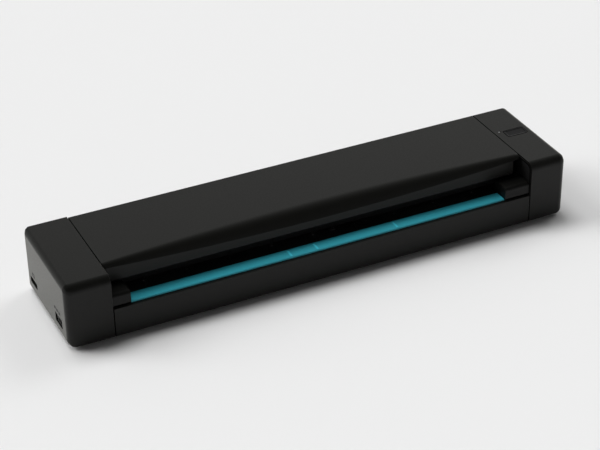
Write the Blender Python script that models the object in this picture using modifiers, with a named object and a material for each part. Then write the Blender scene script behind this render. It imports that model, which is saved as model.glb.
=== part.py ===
"""Portable sheet-fed scanner, built as its separate moulded, turned and cut pieces.

Metres, with +Z up. The origin lies under the middle of the body, on the surface that the feet stand on.
+X runs along the length to the end with the button, and the sheet enters at -Y and leaves at +Y.
"""

import math

import bmesh
import bpy
from mathutils import Vector

# Overall sizes
BODY_LENGTH = 0.295
BODY_DEPTH = 0.0654
BODY_HEIGHT = 0.0367
FOOT_DROP = 0.001
LEFT_CAP_LENGTH = 0.0248
RIGHT_CAP_LENGTH = 0.0226
WALL = 0.0018

# Clearances
FIT_GAP = 0.0003
BRIDGE = 0.0012
OVERRUN = 0.001
EMBED = 0.0005

# Rounding of the outer edges
SIDE_TOP_RADIUS = 0.003
FRONT_ROLL_RADIUS = 0.0048
FRONT_CORNER_RADIUS = 0.004
REAR_CORNER_RADIUS = 0.002
REAR_TOP_RADIUS = 0.0012
BOTTOM_RADIUS = 0.0015
INNER_RADIUS = 0.0004

# Sheet path
PATH_HEIGHT = 0.018
PATH_GAP = 0.0016
EXIT_DROP = 0.0005
EXIT_RUN = 0.0046
PANEL_DROP = 0.0008
DECK_THICKNESS = 0.0016
LEDGE_DROP = 0.0014
GUIDE_STRIP_DEPTH = 0.00795
GUIDE_STRIP_SETBACK = 0.0014
GUIDE_STRIP_RISE = 0.0004
GUIDE_STRIP_RADIUS = 0.0008
LEFT_BLOCK_WIDTH = 0.0101
RIGHT_BLOCK_WIDTH = 0.0153
BLOCK_SETBACK = 0.0012
BLOCK_UNDERCUT = 0.0018
BLOCK_UNDERCUT_HEIGHT = 0.0019
BLOCK_RADIUS = 0.0018
BLOCK_TO_LIP = 0.0016
RIB_COUNT = 9
RIB_WIDTH = 0.0012
RIB_RISE = 0.0004
RIB_LEAD = 0.0015
GUIDE_RIB_START_SHARE = 0.3

# Cover
LIP_SETBACK = 0.012
LIP_DROP = 0.0103
SCOOP_DEPTH_MIDDLE = 0.0077
SCOOP_INNER_RADIUS = 0.0004
SCOOP_DROP_MIDDLE = 0.0061
SCOOP_DROP_END = 0.0019
LIP_NOTCH = 0.0041
REAR_WALL_DROP = 0.0127
GUIDE_WALL = 0.0015
GUIDE_SLOPE_RUN = 0.0034
GUIDE_SLOPE_RISE = 0.0059
GUIDE_EXIT_RUN = 0.0053
GUIDE_FLANGE_RISE = 0.005
HINGE_FROM_REAR = 0.0057
HINGE_FROM_TOP = 0.0102
HINGE_PIN_RADIUS = 0.00125
HINGE_PIN_HEAD_RADIUS = 0.0022
EAR_RADIUS = 0.0032
EAR_WIDTH = 0.003

# Rollers and image sensors
ROLLER_FROM_REAR = 0.0182
SENSOR_WIDTH = 0.012
SENSOR_LENGTH = 0.228
SENSOR_HEIGHT = 0.0099
SENSOR_SPRING_ROOM = 0.0036
SENSOR_EDGE_RADIUS = 0.0008
SENSOR_SLOT_WIDTH = 0.003
SENSOR_SLOT_DEPTH = 0.0015
GLASS_LENGTH = 0.226
GLASS_RECESS = 0.0001
ROLLER_RADIUS = 0.0048
ROLLER_LENGTH = 0.028
ROLLER_OFFSET = 0.045
ROLLER_RISE = 0.0004
ROLLER_CROWN = 0.0005
SHAFT_RADIUS = 0.002
SHAFT_CHAMFER = 0.0003
PINCH_RADIUS = 0.0044
PINCH_SHAFT_RADIUS = 0.0015
PINCH_SHAFT_OVERHANG = 0.0055
WINDOW_CLEARANCE = 0.0006
LUG_THICKNESS = 0.002
LUG_HALF_WIDTH = 0.003
LUG_RISE = 0.0033
SPRING_THICKNESS = 0.0003
SPRING_WIDTH = 0.004
SPRING_HALF_SPAN = 0.02
SPRING_FLAT = 0.003

# Frames, bushes and gears
FRAME_THICKNESS = 0.002
FRAME_RECESS = 0.0003
BUSH_WALL = 0.0009
BUSH_FLANGE = 0.001
BUSH_FLANGE_THICKNESS = 0.0008
GEAR_WIDTH = 0.003
GEAR_SIDE_GAP = 0.0006
DRIVE_TEETH = 22
IDLER_TEETH = 26
PINION_TEETH = 10
REDUCTION_LARGE_TEETH = 30
REDUCTION_SMALL_TEETH = 12
PRESSURE_ANGLE = math.radians(20)
ADDENDUM_SHARE = 0.8
DEDENDUM_SHARE = 1.1
BACKLASH_SHARE = 0.2
PIN_RADIUS = 0.001
MOTOR_RADIUS = 0.0065
MOTOR_LENGTH = 0.018
MOTOR_SHAFT_RADIUS = 0.00075
MOTOR_BORE_DEPTH = 0.003
BRACKET_THICKNESS = 0.001
BRACKET_GAP = 0.0009
BRACKET_MARGIN = 0.0004
BRACKET_CORNER_RADIUS = 0.002
LEG_RADIUS = 0.0013
LEG_CLEARANCE = 0.0005

# Base, feet and screws
TONGUE_THICKNESS = 0.0018
TONGUE_LAP = 0.01
BOSS_RADIUS = 0.0025
BOSS_HEIGHT = 0.0016
POST_RADIUS = 0.0025
POST_X = 0.092
FRONT_POST_SETBACK = 0.0067
REAR_POST_SETBACK = 0.0087
CRADLE_X = 0.078
CRADLE_THICKNESS = 0.002
CRADLE_WALL = 0.0018
CRADLE_GRIP = 0.003
FOOT_LENGTH = 0.011
FOOT_DEPTH = 0.006
FOOT_RADIUS = 0.0015
FOOT_RECESS = 0.0008
FOOT_FROM_SEAM = 0.0012
FOOT_FROM_EDGE = 0.002
SCREW_Y = 0.02
SCREW_FROM_SEAM = 0.011
SCREW_HEAD_RADIUS = 0.0019
SCREW_HEAD_HEIGHT = 0.0006
SCREW_SINK = 0.0003
SCREW_SHANK_RADIUS = 0.0009

# Boards, sockets, button and sensor lever
BOARD_THICKNESS = 0.0012
MAIN_BOARD_FRONT_Y = -0.027
MAIN_BOARD_REAR_Y = 0.0295
MAIN_BOARD_RISE = 0.0005
CHIP_HEIGHT = 0.001
CHIP_SIZE = 0.007
USB_Y = -0.0185
USB_WIDTH = 0.0104
USB_HEIGHT = 0.0036
USB_SHELL_WIDTH = 0.0077
USB_SHELL_HEIGHT = 0.0039
USB_SHELL_LENGTH = 0.009
CARD_Y = 0.0202
CARD_WIDTH = 0.0114
CARD_HEIGHT = 0.0018
CARD_SHELL_WIDTH = 0.0132
CARD_SHELL_HEIGHT = 0.0028
CARD_SHELL_LENGTH = 0.0135
SHELL_WALL = 0.0005
SOCKET_RADIUS = 0.0006
RIBBON_THICKNESS = 0.0003
RIBBON_WIDTH = 0.01
BUTTON_FROM_END = 0.0109
BUTTON_Y = 0.0042
BUTTON_LENGTH = 0.0126
BUTTON_DEPTH = 0.0068
BUTTON_RADIUS = 0.0012
BUTTON_TRAVEL = 0.0005
BUTTON_SLACK = 0.0001
BUTTON_FLANGE = 0.0008
BUTTON_FLANGE_THICKNESS = 0.0008
BUTTON_STEM_RADIUS = 0.0015
SWITCH_SIZE = 0.0045
SWITCH_HEIGHT = 0.0015
BUTTON_BOARD_DROP = 0.0055
BUTTON_BOARD_FRONT = 0.0105
BUTTON_BOARD_REAR = 0.0085
BOARD_POST_RADIUS = 0.0014
LIGHT_FROM_SEAM = 0.0035
LIGHT_Y = 0.0081
LIGHT_RADIUS = 0.0005
LIGHT_FLANGE_RADIUS = 0.0009
LIGHT_FLANGE_THICKNESS = 0.0006
FLAG_X = 0.01
FLAG_WIDTH = 0.003
FLAG_HUB_RADIUS = 0.0017
FLAG_PIN_RADIUS = 0.0007
FLAG_DROP = 0.0035
FLAG_TIP_RISE = 0.001
FLAG_ARM_WIDTH = 0.0016
FLAG_TAIL_LENGTH = 0.0045
FLAG_FROM_ROLLER = 0.0065
FLAG_SLOT_RUN = 0.0045
FLAG_SLOT_LEAD = 0.0015
FLAG_LUG_THICKNESS = 0.0015

# Facets
ARC_STEPS = 4
CORNER_STEPS = 4
ROUND_STEPS = 20
SMALL_ROUND_STEPS = 12
SCOOP_STATIONS = 20
SCOOP_STEPS = 5
FLANK_STEPS = 2
WELD = 0.000001

# Planes and places that follow from the sizes
LEFT_X = -BODY_LENGTH / 2
RIGHT_X = BODY_LENGTH / 2
FRONT_Y = -BODY_DEPTH / 2
REAR_Y = BODY_DEPTH / 2
BOTTOM_Z = FOOT_DROP
TOP_Z = FOOT_DROP + BODY_HEIGHT
LEFT_SEAM_X = LEFT_X + LEFT_CAP_LENGTH
RIGHT_SEAM_X = RIGHT_X - RIGHT_CAP_LENGTH
COVER_LEFT_X = LEFT_SEAM_X + FIT_GAP
COVER_RIGHT_X = RIGHT_SEAM_X - FIT_GAP
COVER_MIDDLE_X = (COVER_LEFT_X + COVER_RIGHT_X) / 2
PATH_Z = BOTTOM_Z + PATH_HEIGHT
CEILING_Z = PATH_Z + PATH_GAP
LIP_Y = FRONT_Y + LIP_SETBACK
LIP_BACK_Y = LIP_Y + WALL
SCOOP_DEPTH_END = math.sqrt(2 * SCOOP_DROP_END * (WALL + SCOOP_INNER_RADIUS))
LIP_Z = TOP_Z - LIP_DROP
INNER_TOP_Z = TOP_Z - WALL
INNER_FRONT_Y = FRONT_Y + WALL
INNER_REAR_Y = REAR_Y - WALL
FLOOR_Z = BOTTOM_Z + WALL
SHEET_LEFT_X = COVER_LEFT_X + LEFT_BLOCK_WIDTH + FIT_GAP
SHEET_RIGHT_X = COVER_RIGHT_X - RIGHT_BLOCK_WIDTH - FIT_GAP
SHEET_MIDDLE_X = (SHEET_LEFT_X + SHEET_RIGHT_X) / 2
HINGE_Y = REAR_Y - HINGE_FROM_REAR
HINGE_Z = TOP_Z - HINGE_FROM_TOP
ROLLER_SPACING = SENSOR_WIDTH + 2 * (ROLLER_RADIUS + BRIDGE)
REAR_ROLLER_Y = REAR_Y - ROLLER_FROM_REAR
FRONT_ROLLER_Y = REAR_ROLLER_Y - ROLLER_SPACING
SENSOR_Y = (FRONT_ROLLER_Y + REAR_ROLLER_Y) / 2
ROLLER_Z = PATH_Z + ROLLER_RISE - ROLLER_RADIUS
PINCH_Z = PATH_Z + ROLLER_RISE + FIT_GAP + PINCH_RADIUS
GEAR_MODULE = ROLLER_SPACING / (DRIVE_TEETH + IDLER_TEETH)
LEFT_FRAME_X = LEFT_SEAM_X - FRAME_RECESS
RIGHT_FRAME_X = RIGHT_SEAM_X + FRAME_RECESS
FRAME_OUTER_X = RIGHT_FRAME_X + FRAME_THICKNESS
TONGUE_Z = FLOOR_Z + FIT_GAP
TONGUE_TOP_Z = TONGUE_Z + TONGUE_THICKNESS
BOSS_TOP_Z = TONGUE_TOP_Z + BOSS_HEIGHT
INNER_GEAR_X = FRAME_OUTER_X + FIT_GAP + BUSH_FLANGE_THICKNESS + GEAR_SIDE_GAP
OUTER_GEAR_X = INNER_GEAR_X + GEAR_WIDTH + GEAR_SIDE_GAP
BRACKET_X = OUTER_GEAR_X + GEAR_WIDTH + BRACKET_GAP
MOTOR_Y = INNER_REAR_Y - FIT_GAP - MOTOR_RADIUS
MOTOR_Z = TONGUE_Z + EMBED + FIT_GAP + MOTOR_RADIUS
STRIP_FRONT_Y = FRONT_Y + GUIDE_STRIP_SETBACK
STRIP_REAR_Y = STRIP_FRONT_Y + GUIDE_STRIP_DEPTH
LEDGE_Z = PATH_Z - LEDGE_DROP
GUIDE_FRONT_Y = LIP_BACK_Y + FIT_GAP
GUIDE_LEFT_X = COVER_LEFT_X + LIP_NOTCH + FIT_GAP
GUIDE_RIGHT_X = COVER_RIGHT_X - LIP_NOTCH - FIT_GAP
FLAG_Y = FRONT_ROLLER_Y - FLAG_FROM_ROLLER
FLAG_Z = PATH_Z - FLAG_DROP
BUTTON_X = RIGHT_X - BUTTON_FROM_END
BUTTON_BOARD_Z = INNER_TOP_Z - BUTTON_BOARD_DROP
LIGHT_X = RIGHT_SEAM_X + LIGHT_FROM_SEAM
MAIN_BOARD_Z = BOSS_TOP_Z + MAIN_BOARD_RISE
SOCKET_Z = MAIN_BOARD_Z + BOARD_THICKNESS + FIT_GAP

# Thin mouldings whose many small cuts near rounded corners need the manifold solver
MANY_CUTS = ("left_end_cap", "right_end_cap", "base_tray", "top_cover")

AXIS_TURNS = {"X": (math.pi / 2, 0, math.pi / 2), "Y": (math.pi / 2, 0, 0), "Z": (0, 0, 0)}
SPIN_TURNS = {"X": (0, math.pi / 2, 0), "Z": (0, 0, 0)}


def clear_scene():
    for obj in list(bpy.data.objects):
        bpy.data.objects.remove(obj, do_unlink=True)


def new_collection(name):
    made = bpy.data.collections.new(name)
    bpy.context.scene.collection.children.link(made)
    return made


clear_scene()
SCANNER = new_collection("sheet_fed_scanner")
HELPERS = new_collection("cutters")


def paint(name, colour, roughness, metallic=0.0):
    material = bpy.data.materials.new(name)
    material.use_nodes = True
    shader = material.node_tree.nodes["Principled BSDF"]
    shader.inputs["Base Color"].default_value = (*colour, 1.0)
    shader.inputs["Roughness"].default_value = roughness
    shader.inputs["Metallic"].default_value = metallic
    material.diffuse_color = (*colour, 1.0)
    return material


BLACK_PLASTIC = paint("black_plastic", (0.028, 0.028, 0.026), 0.45)
DARK_PLASTIC = paint("dark_plastic", (0.014, 0.014, 0.014), 0.5)
TEAL_PLASTIC = paint("teal_plastic", (0.02, 0.26, 0.35), 0.4)
WHITE_PLASTIC = paint("white_plastic", (0.75, 0.75, 0.72), 0.45)
RUBBER = paint("rubber", (0.035, 0.035, 0.035), 0.85)
STEEL = paint("steel", (0.6, 0.6, 0.6), 0.3, 1.0)
SPRING_STEEL = paint("spring_steel", (0.5, 0.5, 0.48), 0.35, 1.0)
BRASS = paint("brass", (0.75, 0.6, 0.3), 0.35, 1.0)
GLASS = paint("glass", (0.4, 0.45, 0.45), 0.05)
BOARD_GREEN = paint("board", (0.02, 0.12, 0.06), 0.5)
LIGHT_PIPE = paint("light_pipe", (0.8, 0.8, 0.8), 0.2)


def add_object(name, mesh, material, location=(0, 0, 0), turn=(0, 0, 0)):
    obj = bpy.data.objects.new(name, mesh)
    SCANNER.objects.link(obj)
    obj.location = location
    obj.rotation_euler = turn
    obj.data.materials.clear()
    obj.data.materials.append(material)
    return obj


def axis_empty(name, location):
    """An empty on a joint's axis, which carries the pieces that turn there."""
    empty = bpy.data.objects.new(name, None)
    SCANNER.objects.link(empty)
    empty.location = location
    return empty


def carry(empty, *pieces):
    """Parents each piece to a joint's empty and leaves it where it is."""
    for piece in pieces:
        piece.location = piece.location - empty.location
        piece.parent = empty


def mesh_from(name, shape):
    mesh = bpy.data.meshes.new(name)
    bmesh.ops.recalc_face_normals(shape, faces=shape.faces)
    shape.to_mesh(mesh)
    shape.free()
    return mesh


def block(name, low, high, material):
    """A box from one corner to the other, with its origin in its middle."""
    low, high = Vector(low), Vector(high)
    shape = bmesh.new()
    bmesh.ops.create_cube(shape, size=1.0)
    bmesh.ops.scale(shape, vec=high - low, verts=shape.verts)
    return add_object(name, mesh_from(name, shape), material, (low + high) / 2)


def side_of(value):
    return 0 if abs(value) < WELD else int(math.copysign(1, value))


def soften(box, radii, steps=CORNER_STEPS):
    """Rounds a box's edges, each named by the signs of its place along X, Y and Z."""
    widest = max(radii.values())
    shape = bmesh.new()
    shape.from_mesh(box.data)
    weights = shape.edges.layers.float.new("bevel_weight_edge")
    for edge in shape.edges:
        middle = (edge.verts[0].co + edge.verts[1].co) / 2
        edge[weights] = radii.get(tuple(map(side_of, middle)), 0.0) / widest
    shape.to_mesh(box.data)
    shape.free()
    rounding = box.modifiers.new("rounded edges", "BEVEL")
    rounding.limit_method = "WEIGHT"
    rounding.width = widest
    rounding.segments = steps
    return box


def rounded(corners, steps=ARC_STEPS):
    """A closed outline through corners given as (across, up, radius), each turned into an arc."""
    points = []
    for index, (across, up, radius) in enumerate(corners):
        here = Vector((across, up))
        if not radius:
            points.append(here)
            continue
        before = (Vector(corners[index - 1][:2]) - here).normalized()
        after = (Vector(corners[(index + 1) % len(corners)][:2]) - here).normalized()
        half = before.angle(after) / 2
        centre = here + (before + after).normalized() * radius / math.sin(half)
        spoke = here + before * radius / math.tan(half) - centre
        sweep = math.copysign(math.pi - 2 * half, -before.cross(after))
        for step in range(steps + 1):
            angle = sweep * step / steps
            turned_x = spoke.x * math.cos(angle) - spoke.y * math.sin(angle)
            turned_y = spoke.x * math.sin(angle) + spoke.y * math.cos(angle)
            points.append(centre + Vector((turned_x, turned_y)))
    return points


def rectangle(low, high, radius=0.0):
    """A rectangle's outline from one corner to the other, with round corners if it has a radius."""
    corners = ((low[0], low[1]), (high[0], low[1]), (high[0], high[1]), (low[0], high[1]))
    return rounded([(across, up, radius) for across, up in corners])


def disc(across, up, radius, steps=SMALL_ROUND_STEPS):
    turns = [2 * math.pi * step / steps for step in range(steps)]
    return [Vector((across + radius * math.cos(turn), up + radius * math.sin(turn))) for turn in turns]


def beside(path, distance):
    """The path again, some way to its left."""
    points = [Vector(point) for point in path]
    left = []
    for index, here in enumerate(points):
        normals = []
        for first, second in ((index - 1, index), (index, index + 1)):
            if first >= 0 and second < len(points):
                run = (points[second] - points[first]).normalized()
                normals.append(Vector((-run.y, run.x)))
        mean = sum(normals, Vector((0, 0))).normalized()
        left.append(here + mean * distance / mean.dot(normals[0]))
    return left


def thickened(path, thickness):
    """The closed outline of a bent sheet."""
    return [Vector(point) for point in path] + beside(path, thickness)[::-1]


def plate(name, outlines, low, high, material, axis="X", centre=(0, 0)):
    """A flat outline, with any holes after it, extruded from low to high along an axis."""
    curve = bpy.data.curves.new(name, "CURVE")
    curve.dimensions = "2D"
    curve.fill_mode = "BOTH"
    curve.extrude = (high - low) / 2
    for outline in outlines:
        spline = curve.splines.new("POLY")
        spline.points.add(len(outline) - 1)
        for point, (across, up) in zip(spline.points, outline):
            point.co = (across - centre[0], up - centre[1], 0, 1)
        spline.use_cyclic_u = True
    flat = bpy.data.objects.new(name, curve)
    SCANNER.objects.link(flat)
    graph = bpy.context.evaluated_depsgraph_get()
    shape = bmesh.new()
    shape.from_mesh(bpy.data.meshes.new_from_object(flat.evaluated_get(graph)))
    bpy.data.objects.remove(flat)
    bmesh.ops.remove_doubles(shape, verts=shape.verts, dist=WELD)
    middle = (low + high) / 2
    places = {
        "X": (middle, centre[0], centre[1]),
        "Y": (centre[0], middle, centre[1]),
        "Z": (centre[0], centre[1], middle),
    }
    return add_object(name, mesh_from(name, shape), material, places[axis], AXIS_TURNS[axis])


def turned(name, profile, location, material, axis="Z", closed=False, steps=ROUND_STEPS):
    """A turned piece. The profile is (radius, height) points, down the outer side."""
    mesh = bpy.data.meshes.new(name)
    edges = [(index, index + 1) for index in range(len(profile) - 1)]
    if closed:
        edges.append((len(profile) - 1, 0))
    mesh.from_pydata([(radius, 0, height) for radius, height in profile], edges, [])
    piece = add_object(name, mesh, material, location, SPIN_TURNS[axis])
    screw = piece.modifiers.new("turned", "SCREW")
    screw.steps = steps
    screw.render_steps = steps
    screw.use_merge_vertices = True
    screw.merge_threshold = WELD
    screw.use_smooth_shade = True
    return piece


def rod(name, low, high, radius, across, material, axis="Z", steps=SMALL_ROUND_STEPS):
    """A plain round bar from low to high along an axis, at the two other coordinates."""
    middle = (low + high) / 2
    half = (high - low) / 2
    location = (middle, *across) if axis == "X" else (*across, middle)
    profile = [(0, half), (radius, half), (radius, -half), (0, -half)]
    return turned(name, profile, location, material, axis, steps=steps)


def helper(obj):
    SCANNER.objects.unlink(obj)
    HELPERS.objects.link(obj)
    obj.hide_render = True
    obj.display_type = "WIRE"
    return obj


def combine(piece, other, operation):
    modifier = piece.modifiers.new(other.name, "BOOLEAN")
    modifier.operation = operation
    modifier.solver = "MANIFOLD" if piece.name in MANY_CUTS else "EXACT"
    modifier.object = helper(other)


def cut(piece, *cutters):
    for cutter in cutters:
        combine(piece, cutter, "DIFFERENCE")
    return piece


def fuse(piece, *others):
    for other in others:
        combine(piece, other, "UNION")
    return piece


def cap_radii(side, inset):
    """The radii of an end cap's edges, or of its hollow, which lies a wall further in."""
    def eased(radius):
        return max(radius - inset, INNER_RADIUS)

    return {
        (0, -1, 1): eased(FRONT_ROLL_RADIUS),
        (0, 1, 1): eased(REAR_TOP_RADIUS),
        (0, -1, -1): eased(BOTTOM_RADIUS),
        (0, 1, -1): eased(BOTTOM_RADIUS),
        (side, 0, 1): eased(SIDE_TOP_RADIUS),
        (side, 0, -1): eased(BOTTOM_RADIUS),
        (side, -1, 0): eased(FRONT_CORNER_RADIUS),
        (side, 1, 0): eased(REAR_CORNER_RADIUS),
    }


def foot_centres(side):
    """Where the two feet of an end lie."""
    seam = LEFT_SEAM_X if side < 0 else RIGHT_SEAM_X
    across = seam + side * (FOOT_FROM_SEAM + FOOT_LENGTH / 2)
    inward = FOOT_FROM_EDGE + FOOT_DEPTH / 2
    return {"front": (across, FRONT_Y + inward), "rear": (across, REAR_Y - inward)}


def screw_centres(side):
    seam = LEFT_SEAM_X if side < 0 else RIGHT_SEAM_X
    across = seam + side * SCREW_FROM_SEAM
    return {"front": (across, -SCREW_Y), "rear": (across, SCREW_Y)}


def foot_outline(centre, growth):
    half = Vector((FOOT_LENGTH / 2 + growth, FOOT_DEPTH / 2 + growth))
    middle = Vector(centre)
    return rectangle(middle - half, middle + half, FOOT_RADIUS + growth)


def end_cap(name, side):
    """A moulded cap, open towards the middle of the scanner. Side is -1 at the left and 1 at the right."""
    seam = LEFT_SEAM_X if side < 0 else RIGHT_SEAM_X
    end = side * BODY_LENGTH / 2
    cap = block(name, (min(seam, end), FRONT_Y, BOTTOM_Z), (max(seam, end), REAR_Y, TOP_Z), BLACK_PLASTIC)
    soften(cap, cap_radii(side, 0))
    mouth = seam - side * OVERRUN
    back = end - side * WALL
    hollow_low = (min(mouth, back), INNER_FRONT_Y, FLOOR_Z)
    hollow_high = (max(mouth, back), INNER_REAR_Y, INNER_TOP_Z)
    hollow = block(name + "_hollow", hollow_low, hollow_high, BLACK_PLASTIC)
    cut(cap, soften(hollow, cap_radii(side, WALL)))
    for place, centre in foot_centres(side).items():
        pocket = foot_outline(centre, FIT_GAP)
        low = BOTTOM_Z - OVERRUN
        cut(cap, plate(f"{name}_{place}_pocket", [pocket], low, BOTTOM_Z + FOOT_RECESS, RUBBER, "Z"))
    for place, centre in screw_centres(side).items():
        sink_top = BOTTOM_Z + SCREW_SINK + SCREW_HEAD_HEIGHT + FIT_GAP
        sink_radius = SCREW_HEAD_RADIUS + FIT_GAP
        sink = rod(f"{name}_{place}_sink", BOTTOM_Z - OVERRUN, sink_top, sink_radius, centre, STEEL)
        hole_radius = SCREW_SHANK_RADIUS + FIT_GAP
        hole = rod(f"{name}_{place}_hole", BOTTOM_Z, FLOOR_Z + OVERRUN, hole_radius, centre, STEEL)
        cut(cap, sink, hole)
    return cap


def left_end_cap():
    cap = end_cap("left_end_cap", -1)
    ports = {
        "usb": (USB_Y, USB_WIDTH, USB_HEIGHT, USB_SHELL_HEIGHT),
        "card": (CARD_Y, CARD_WIDTH, CARD_HEIGHT, CARD_SHELL_HEIGHT),
    }
    for port, (middle, width, height, shell_height) in ports.items():
        up = SOCKET_Z + shell_height / 2
        low = (middle - width / 2, up - height / 2)
        high = (middle + width / 2, up + height / 2)
        outline = rectangle(low, high, SOCKET_RADIUS)
        cut(cap, plate(port + "_opening", [outline], LEFT_X - OVERRUN, LEFT_X + WALL + OVERRUN, STEEL))
    return cap


def button_outline(growth):
    half = Vector((BUTTON_LENGTH / 2 + growth, BUTTON_DEPTH / 2 + growth))
    middle = Vector((BUTTON_X, BUTTON_Y))
    return rectangle(middle - half, middle + half, BUTTON_RADIUS + growth)


def right_end_cap():
    cap = end_cap("right_end_cap", 1)
    low = INNER_TOP_Z - OVERRUN
    high = TOP_Z + OVERRUN
    cut(cap, plate("button_opening", [button_outline(FIT_GAP)], low, high, STEEL, "Z"))
    cut(cap, rod("light_opening", low, high, LIGHT_RADIUS + FIT_GAP, (LIGHT_X, LIGHT_Y), STEEL))
    post_low, post_high = BUTTON_BOARD_Z + FIT_GAP, INNER_TOP_Z + EMBED
    for number, corner in enumerate(button_board_posts(), 1):
        post = rod(f"board_post_{number}", post_low, post_high, BOARD_POST_RADIUS, corner, BLACK_PLASTIC)
        fuse(cap, post)
    return cap


def button_board_box():
    """The button board's corners in plan."""
    low = (FRAME_OUTER_X + OVERRUN, BUTTON_Y - BUTTON_BOARD_FRONT)
    return low, (RIGHT_X - WALL - OVERRUN, BUTTON_Y + BUTTON_BOARD_REAR)


def button_board_posts():
    low, high = button_board_box()
    inset = BOARD_POST_RADIUS + FIT_GAP
    left, right = low[0] + inset, high[0] - inset
    front, rear = low[1] + inset, high[1] - inset
    return (left, front), (right, front), (right, rear)


def feet():
    for side, word in ((-1, "left"), (1, "right")):
        for place, centre in foot_centres(side).items():
            name = f"foot_{place}_{word}"
            top = BOTTOM_Z + FOOT_RECESS - FIT_GAP
            plate(name, [foot_outline(centre, 0)], 0, top, RUBBER, "Z")


def cap_screws():
    low = BOTTOM_Z + SCREW_SINK
    head_top = low + SCREW_HEAD_HEIGHT
    top = BOSS_TOP_Z - FIT_GAP
    profile = [
        (0, top - low),
        (SCREW_SHANK_RADIUS, top - low),
        (SCREW_SHANK_RADIUS, head_top - low),
        (SCREW_HEAD_RADIUS, head_top - low),
        (SCREW_HEAD_RADIUS, 0),
        (0, 0),
    ]
    for side, word in ((-1, "left"), (1, "right")):
        for place, centre in screw_centres(side).items():
            turned(f"cap_screw_{place}_{word}", profile, (*centre, low), STEEL, steps=SMALL_ROUND_STEPS)


def tray_outline():
    """The base's cross-section: floor, front panel and low rear wall."""
    panel_top = PATH_Z - PANEL_DROP
    inner = BOTTOM_RADIUS - INNER_RADIUS
    return rounded([
        (FRONT_Y, panel_top, INNER_RADIUS),
        (FRONT_Y, BOTTOM_Z, BOTTOM_RADIUS),
        (REAR_Y, BOTTOM_Z, BOTTOM_RADIUS),
        (REAR_Y, panel_top, INNER_RADIUS),
        (INNER_REAR_Y, panel_top, INNER_RADIUS),
        (INNER_REAR_Y, FLOOR_Z, inner),
        (INNER_FRONT_Y, FLOOR_Z, inner),
        (INNER_FRONT_Y, panel_top, INNER_RADIUS),
    ])


def base_tray():
    """The base between the end caps, with a tongue into each cap that carries the frames and the boards."""
    tray = plate("base_tray", [tray_outline()], COVER_LEFT_X, COVER_RIGHT_X, BLACK_PLASTIC)
    for side, word in ((-1, "left"), (1, "right")):
        inner = COVER_LEFT_X if side < 0 else COVER_RIGHT_X
        lap = inner - side * TONGUE_LAP
        end = side * (BODY_LENGTH / 2 - WALL - FIT_GAP)
        low = (min(lap, end), INNER_FRONT_Y + FIT_GAP, FLOOR_Z - EMBED)
        high = (max(lap, end), INNER_REAR_Y - FIT_GAP, TONGUE_TOP_Z)
        tongue = block(f"tongue_{word}", low, high, BLACK_PLASTIC)
        soften(tongue, {
            (side, -1, 0): FRONT_CORNER_RADIUS - WALL,
            (side, 1, 0): max(REAR_CORNER_RADIUS - WALL, INNER_RADIUS),
        })
        root = inner - side * EMBED
        under_low = (min(root, end + side * OVERRUN), FRONT_Y, BOTTOM_Z)
        under_high = (max(root, end + side * OVERRUN), REAR_Y, TONGUE_Z)
        cut(tongue, block(f"under_tongue_{word}", under_low, under_high, BLACK_PLASTIC))
        fuse(tray, tongue)
        for place, centre in screw_centres(side).items():
            boss_low = TONGUE_Z + EMBED
            fuse(tray, rod(f"boss_{place}_{word}", boss_low, BOSS_TOP_Z, BOSS_RADIUS, centre, BLACK_PLASTIC))
            hole_radius = SCREW_SHANK_RADIUS + FIT_GAP
            bore = rod(f"bore_{place}_{word}", FLOOR_Z, BOSS_TOP_Z + OVERRUN, hole_radius, centre, STEEL)
            cut(tray, bore)
    for side, word in ((-1, "left"), (1, "right")):
        across = SHEET_MIDDLE_X + side * POST_X
        front_top = LEDGE_Z - DECK_THICKNESS - FIT_GAP
        rear_top = PATH_Z - DECK_THICKNESS - FIT_GAP
        low = FLOOR_Z - EMBED
        front = (across, FRONT_Y + FRONT_POST_SETBACK)
        rear = (across, REAR_Y - REAR_POST_SETBACK)
        fuse(tray, rod(f"front_post_{word}", low, front_top, POST_RADIUS, front, BLACK_PLASTIC))
        fuse(tray, rod(f"rear_post_{word}", low, rear_top, POST_RADIUS, rear, BLACK_PLASTIC))
        cradle_left = SHEET_MIDDLE_X + side * CRADLE_X - CRADLE_THICKNESS / 2
        cradle_right = cradle_left + CRADLE_THICKNESS
        fuse(tray, plate(f"cradle_{word}", [cradle_outline()], cradle_left, cradle_right, BLACK_PLASTIC))
    bed_left = RIGHT_FRAME_X - 2 * FIT_GAP - MOTOR_LENGTH
    bed_radius = MOTOR_RADIUS + FIT_GAP
    axis = (MOTOR_Y, MOTOR_Z)
    return cut(tray, rod("motor_bed", bed_left, RIGHT_FRAME_X, bed_radius, axis, STEEL, "X", ROUND_STEPS))


def sensor_bottom_z():
    return PATH_Z - GLASS_RECESS - DECK_THICKNESS - FIT_GAP - SENSOR_HEIGHT


def cradle_outline():
    """A rib with a pocket that holds the lower sensor between two fingers."""
    half = SENSOR_WIDTH / 2 + FIT_GAP
    seat = sensor_bottom_z() - FIT_GAP
    outer = half + CRADLE_WALL
    corners = (
        (-outer, FLOOR_Z - EMBED),
        (outer, FLOOR_Z - EMBED),
        (outer, seat + CRADLE_GRIP),
        (half, seat + CRADLE_GRIP),
        (half, seat),
        (-half, seat),
        (-half, seat + CRADLE_GRIP),
        (-outer, seat + CRADLE_GRIP),
    )
    return [Vector((SENSOR_Y + across, up)) for across, up in corners]


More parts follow.
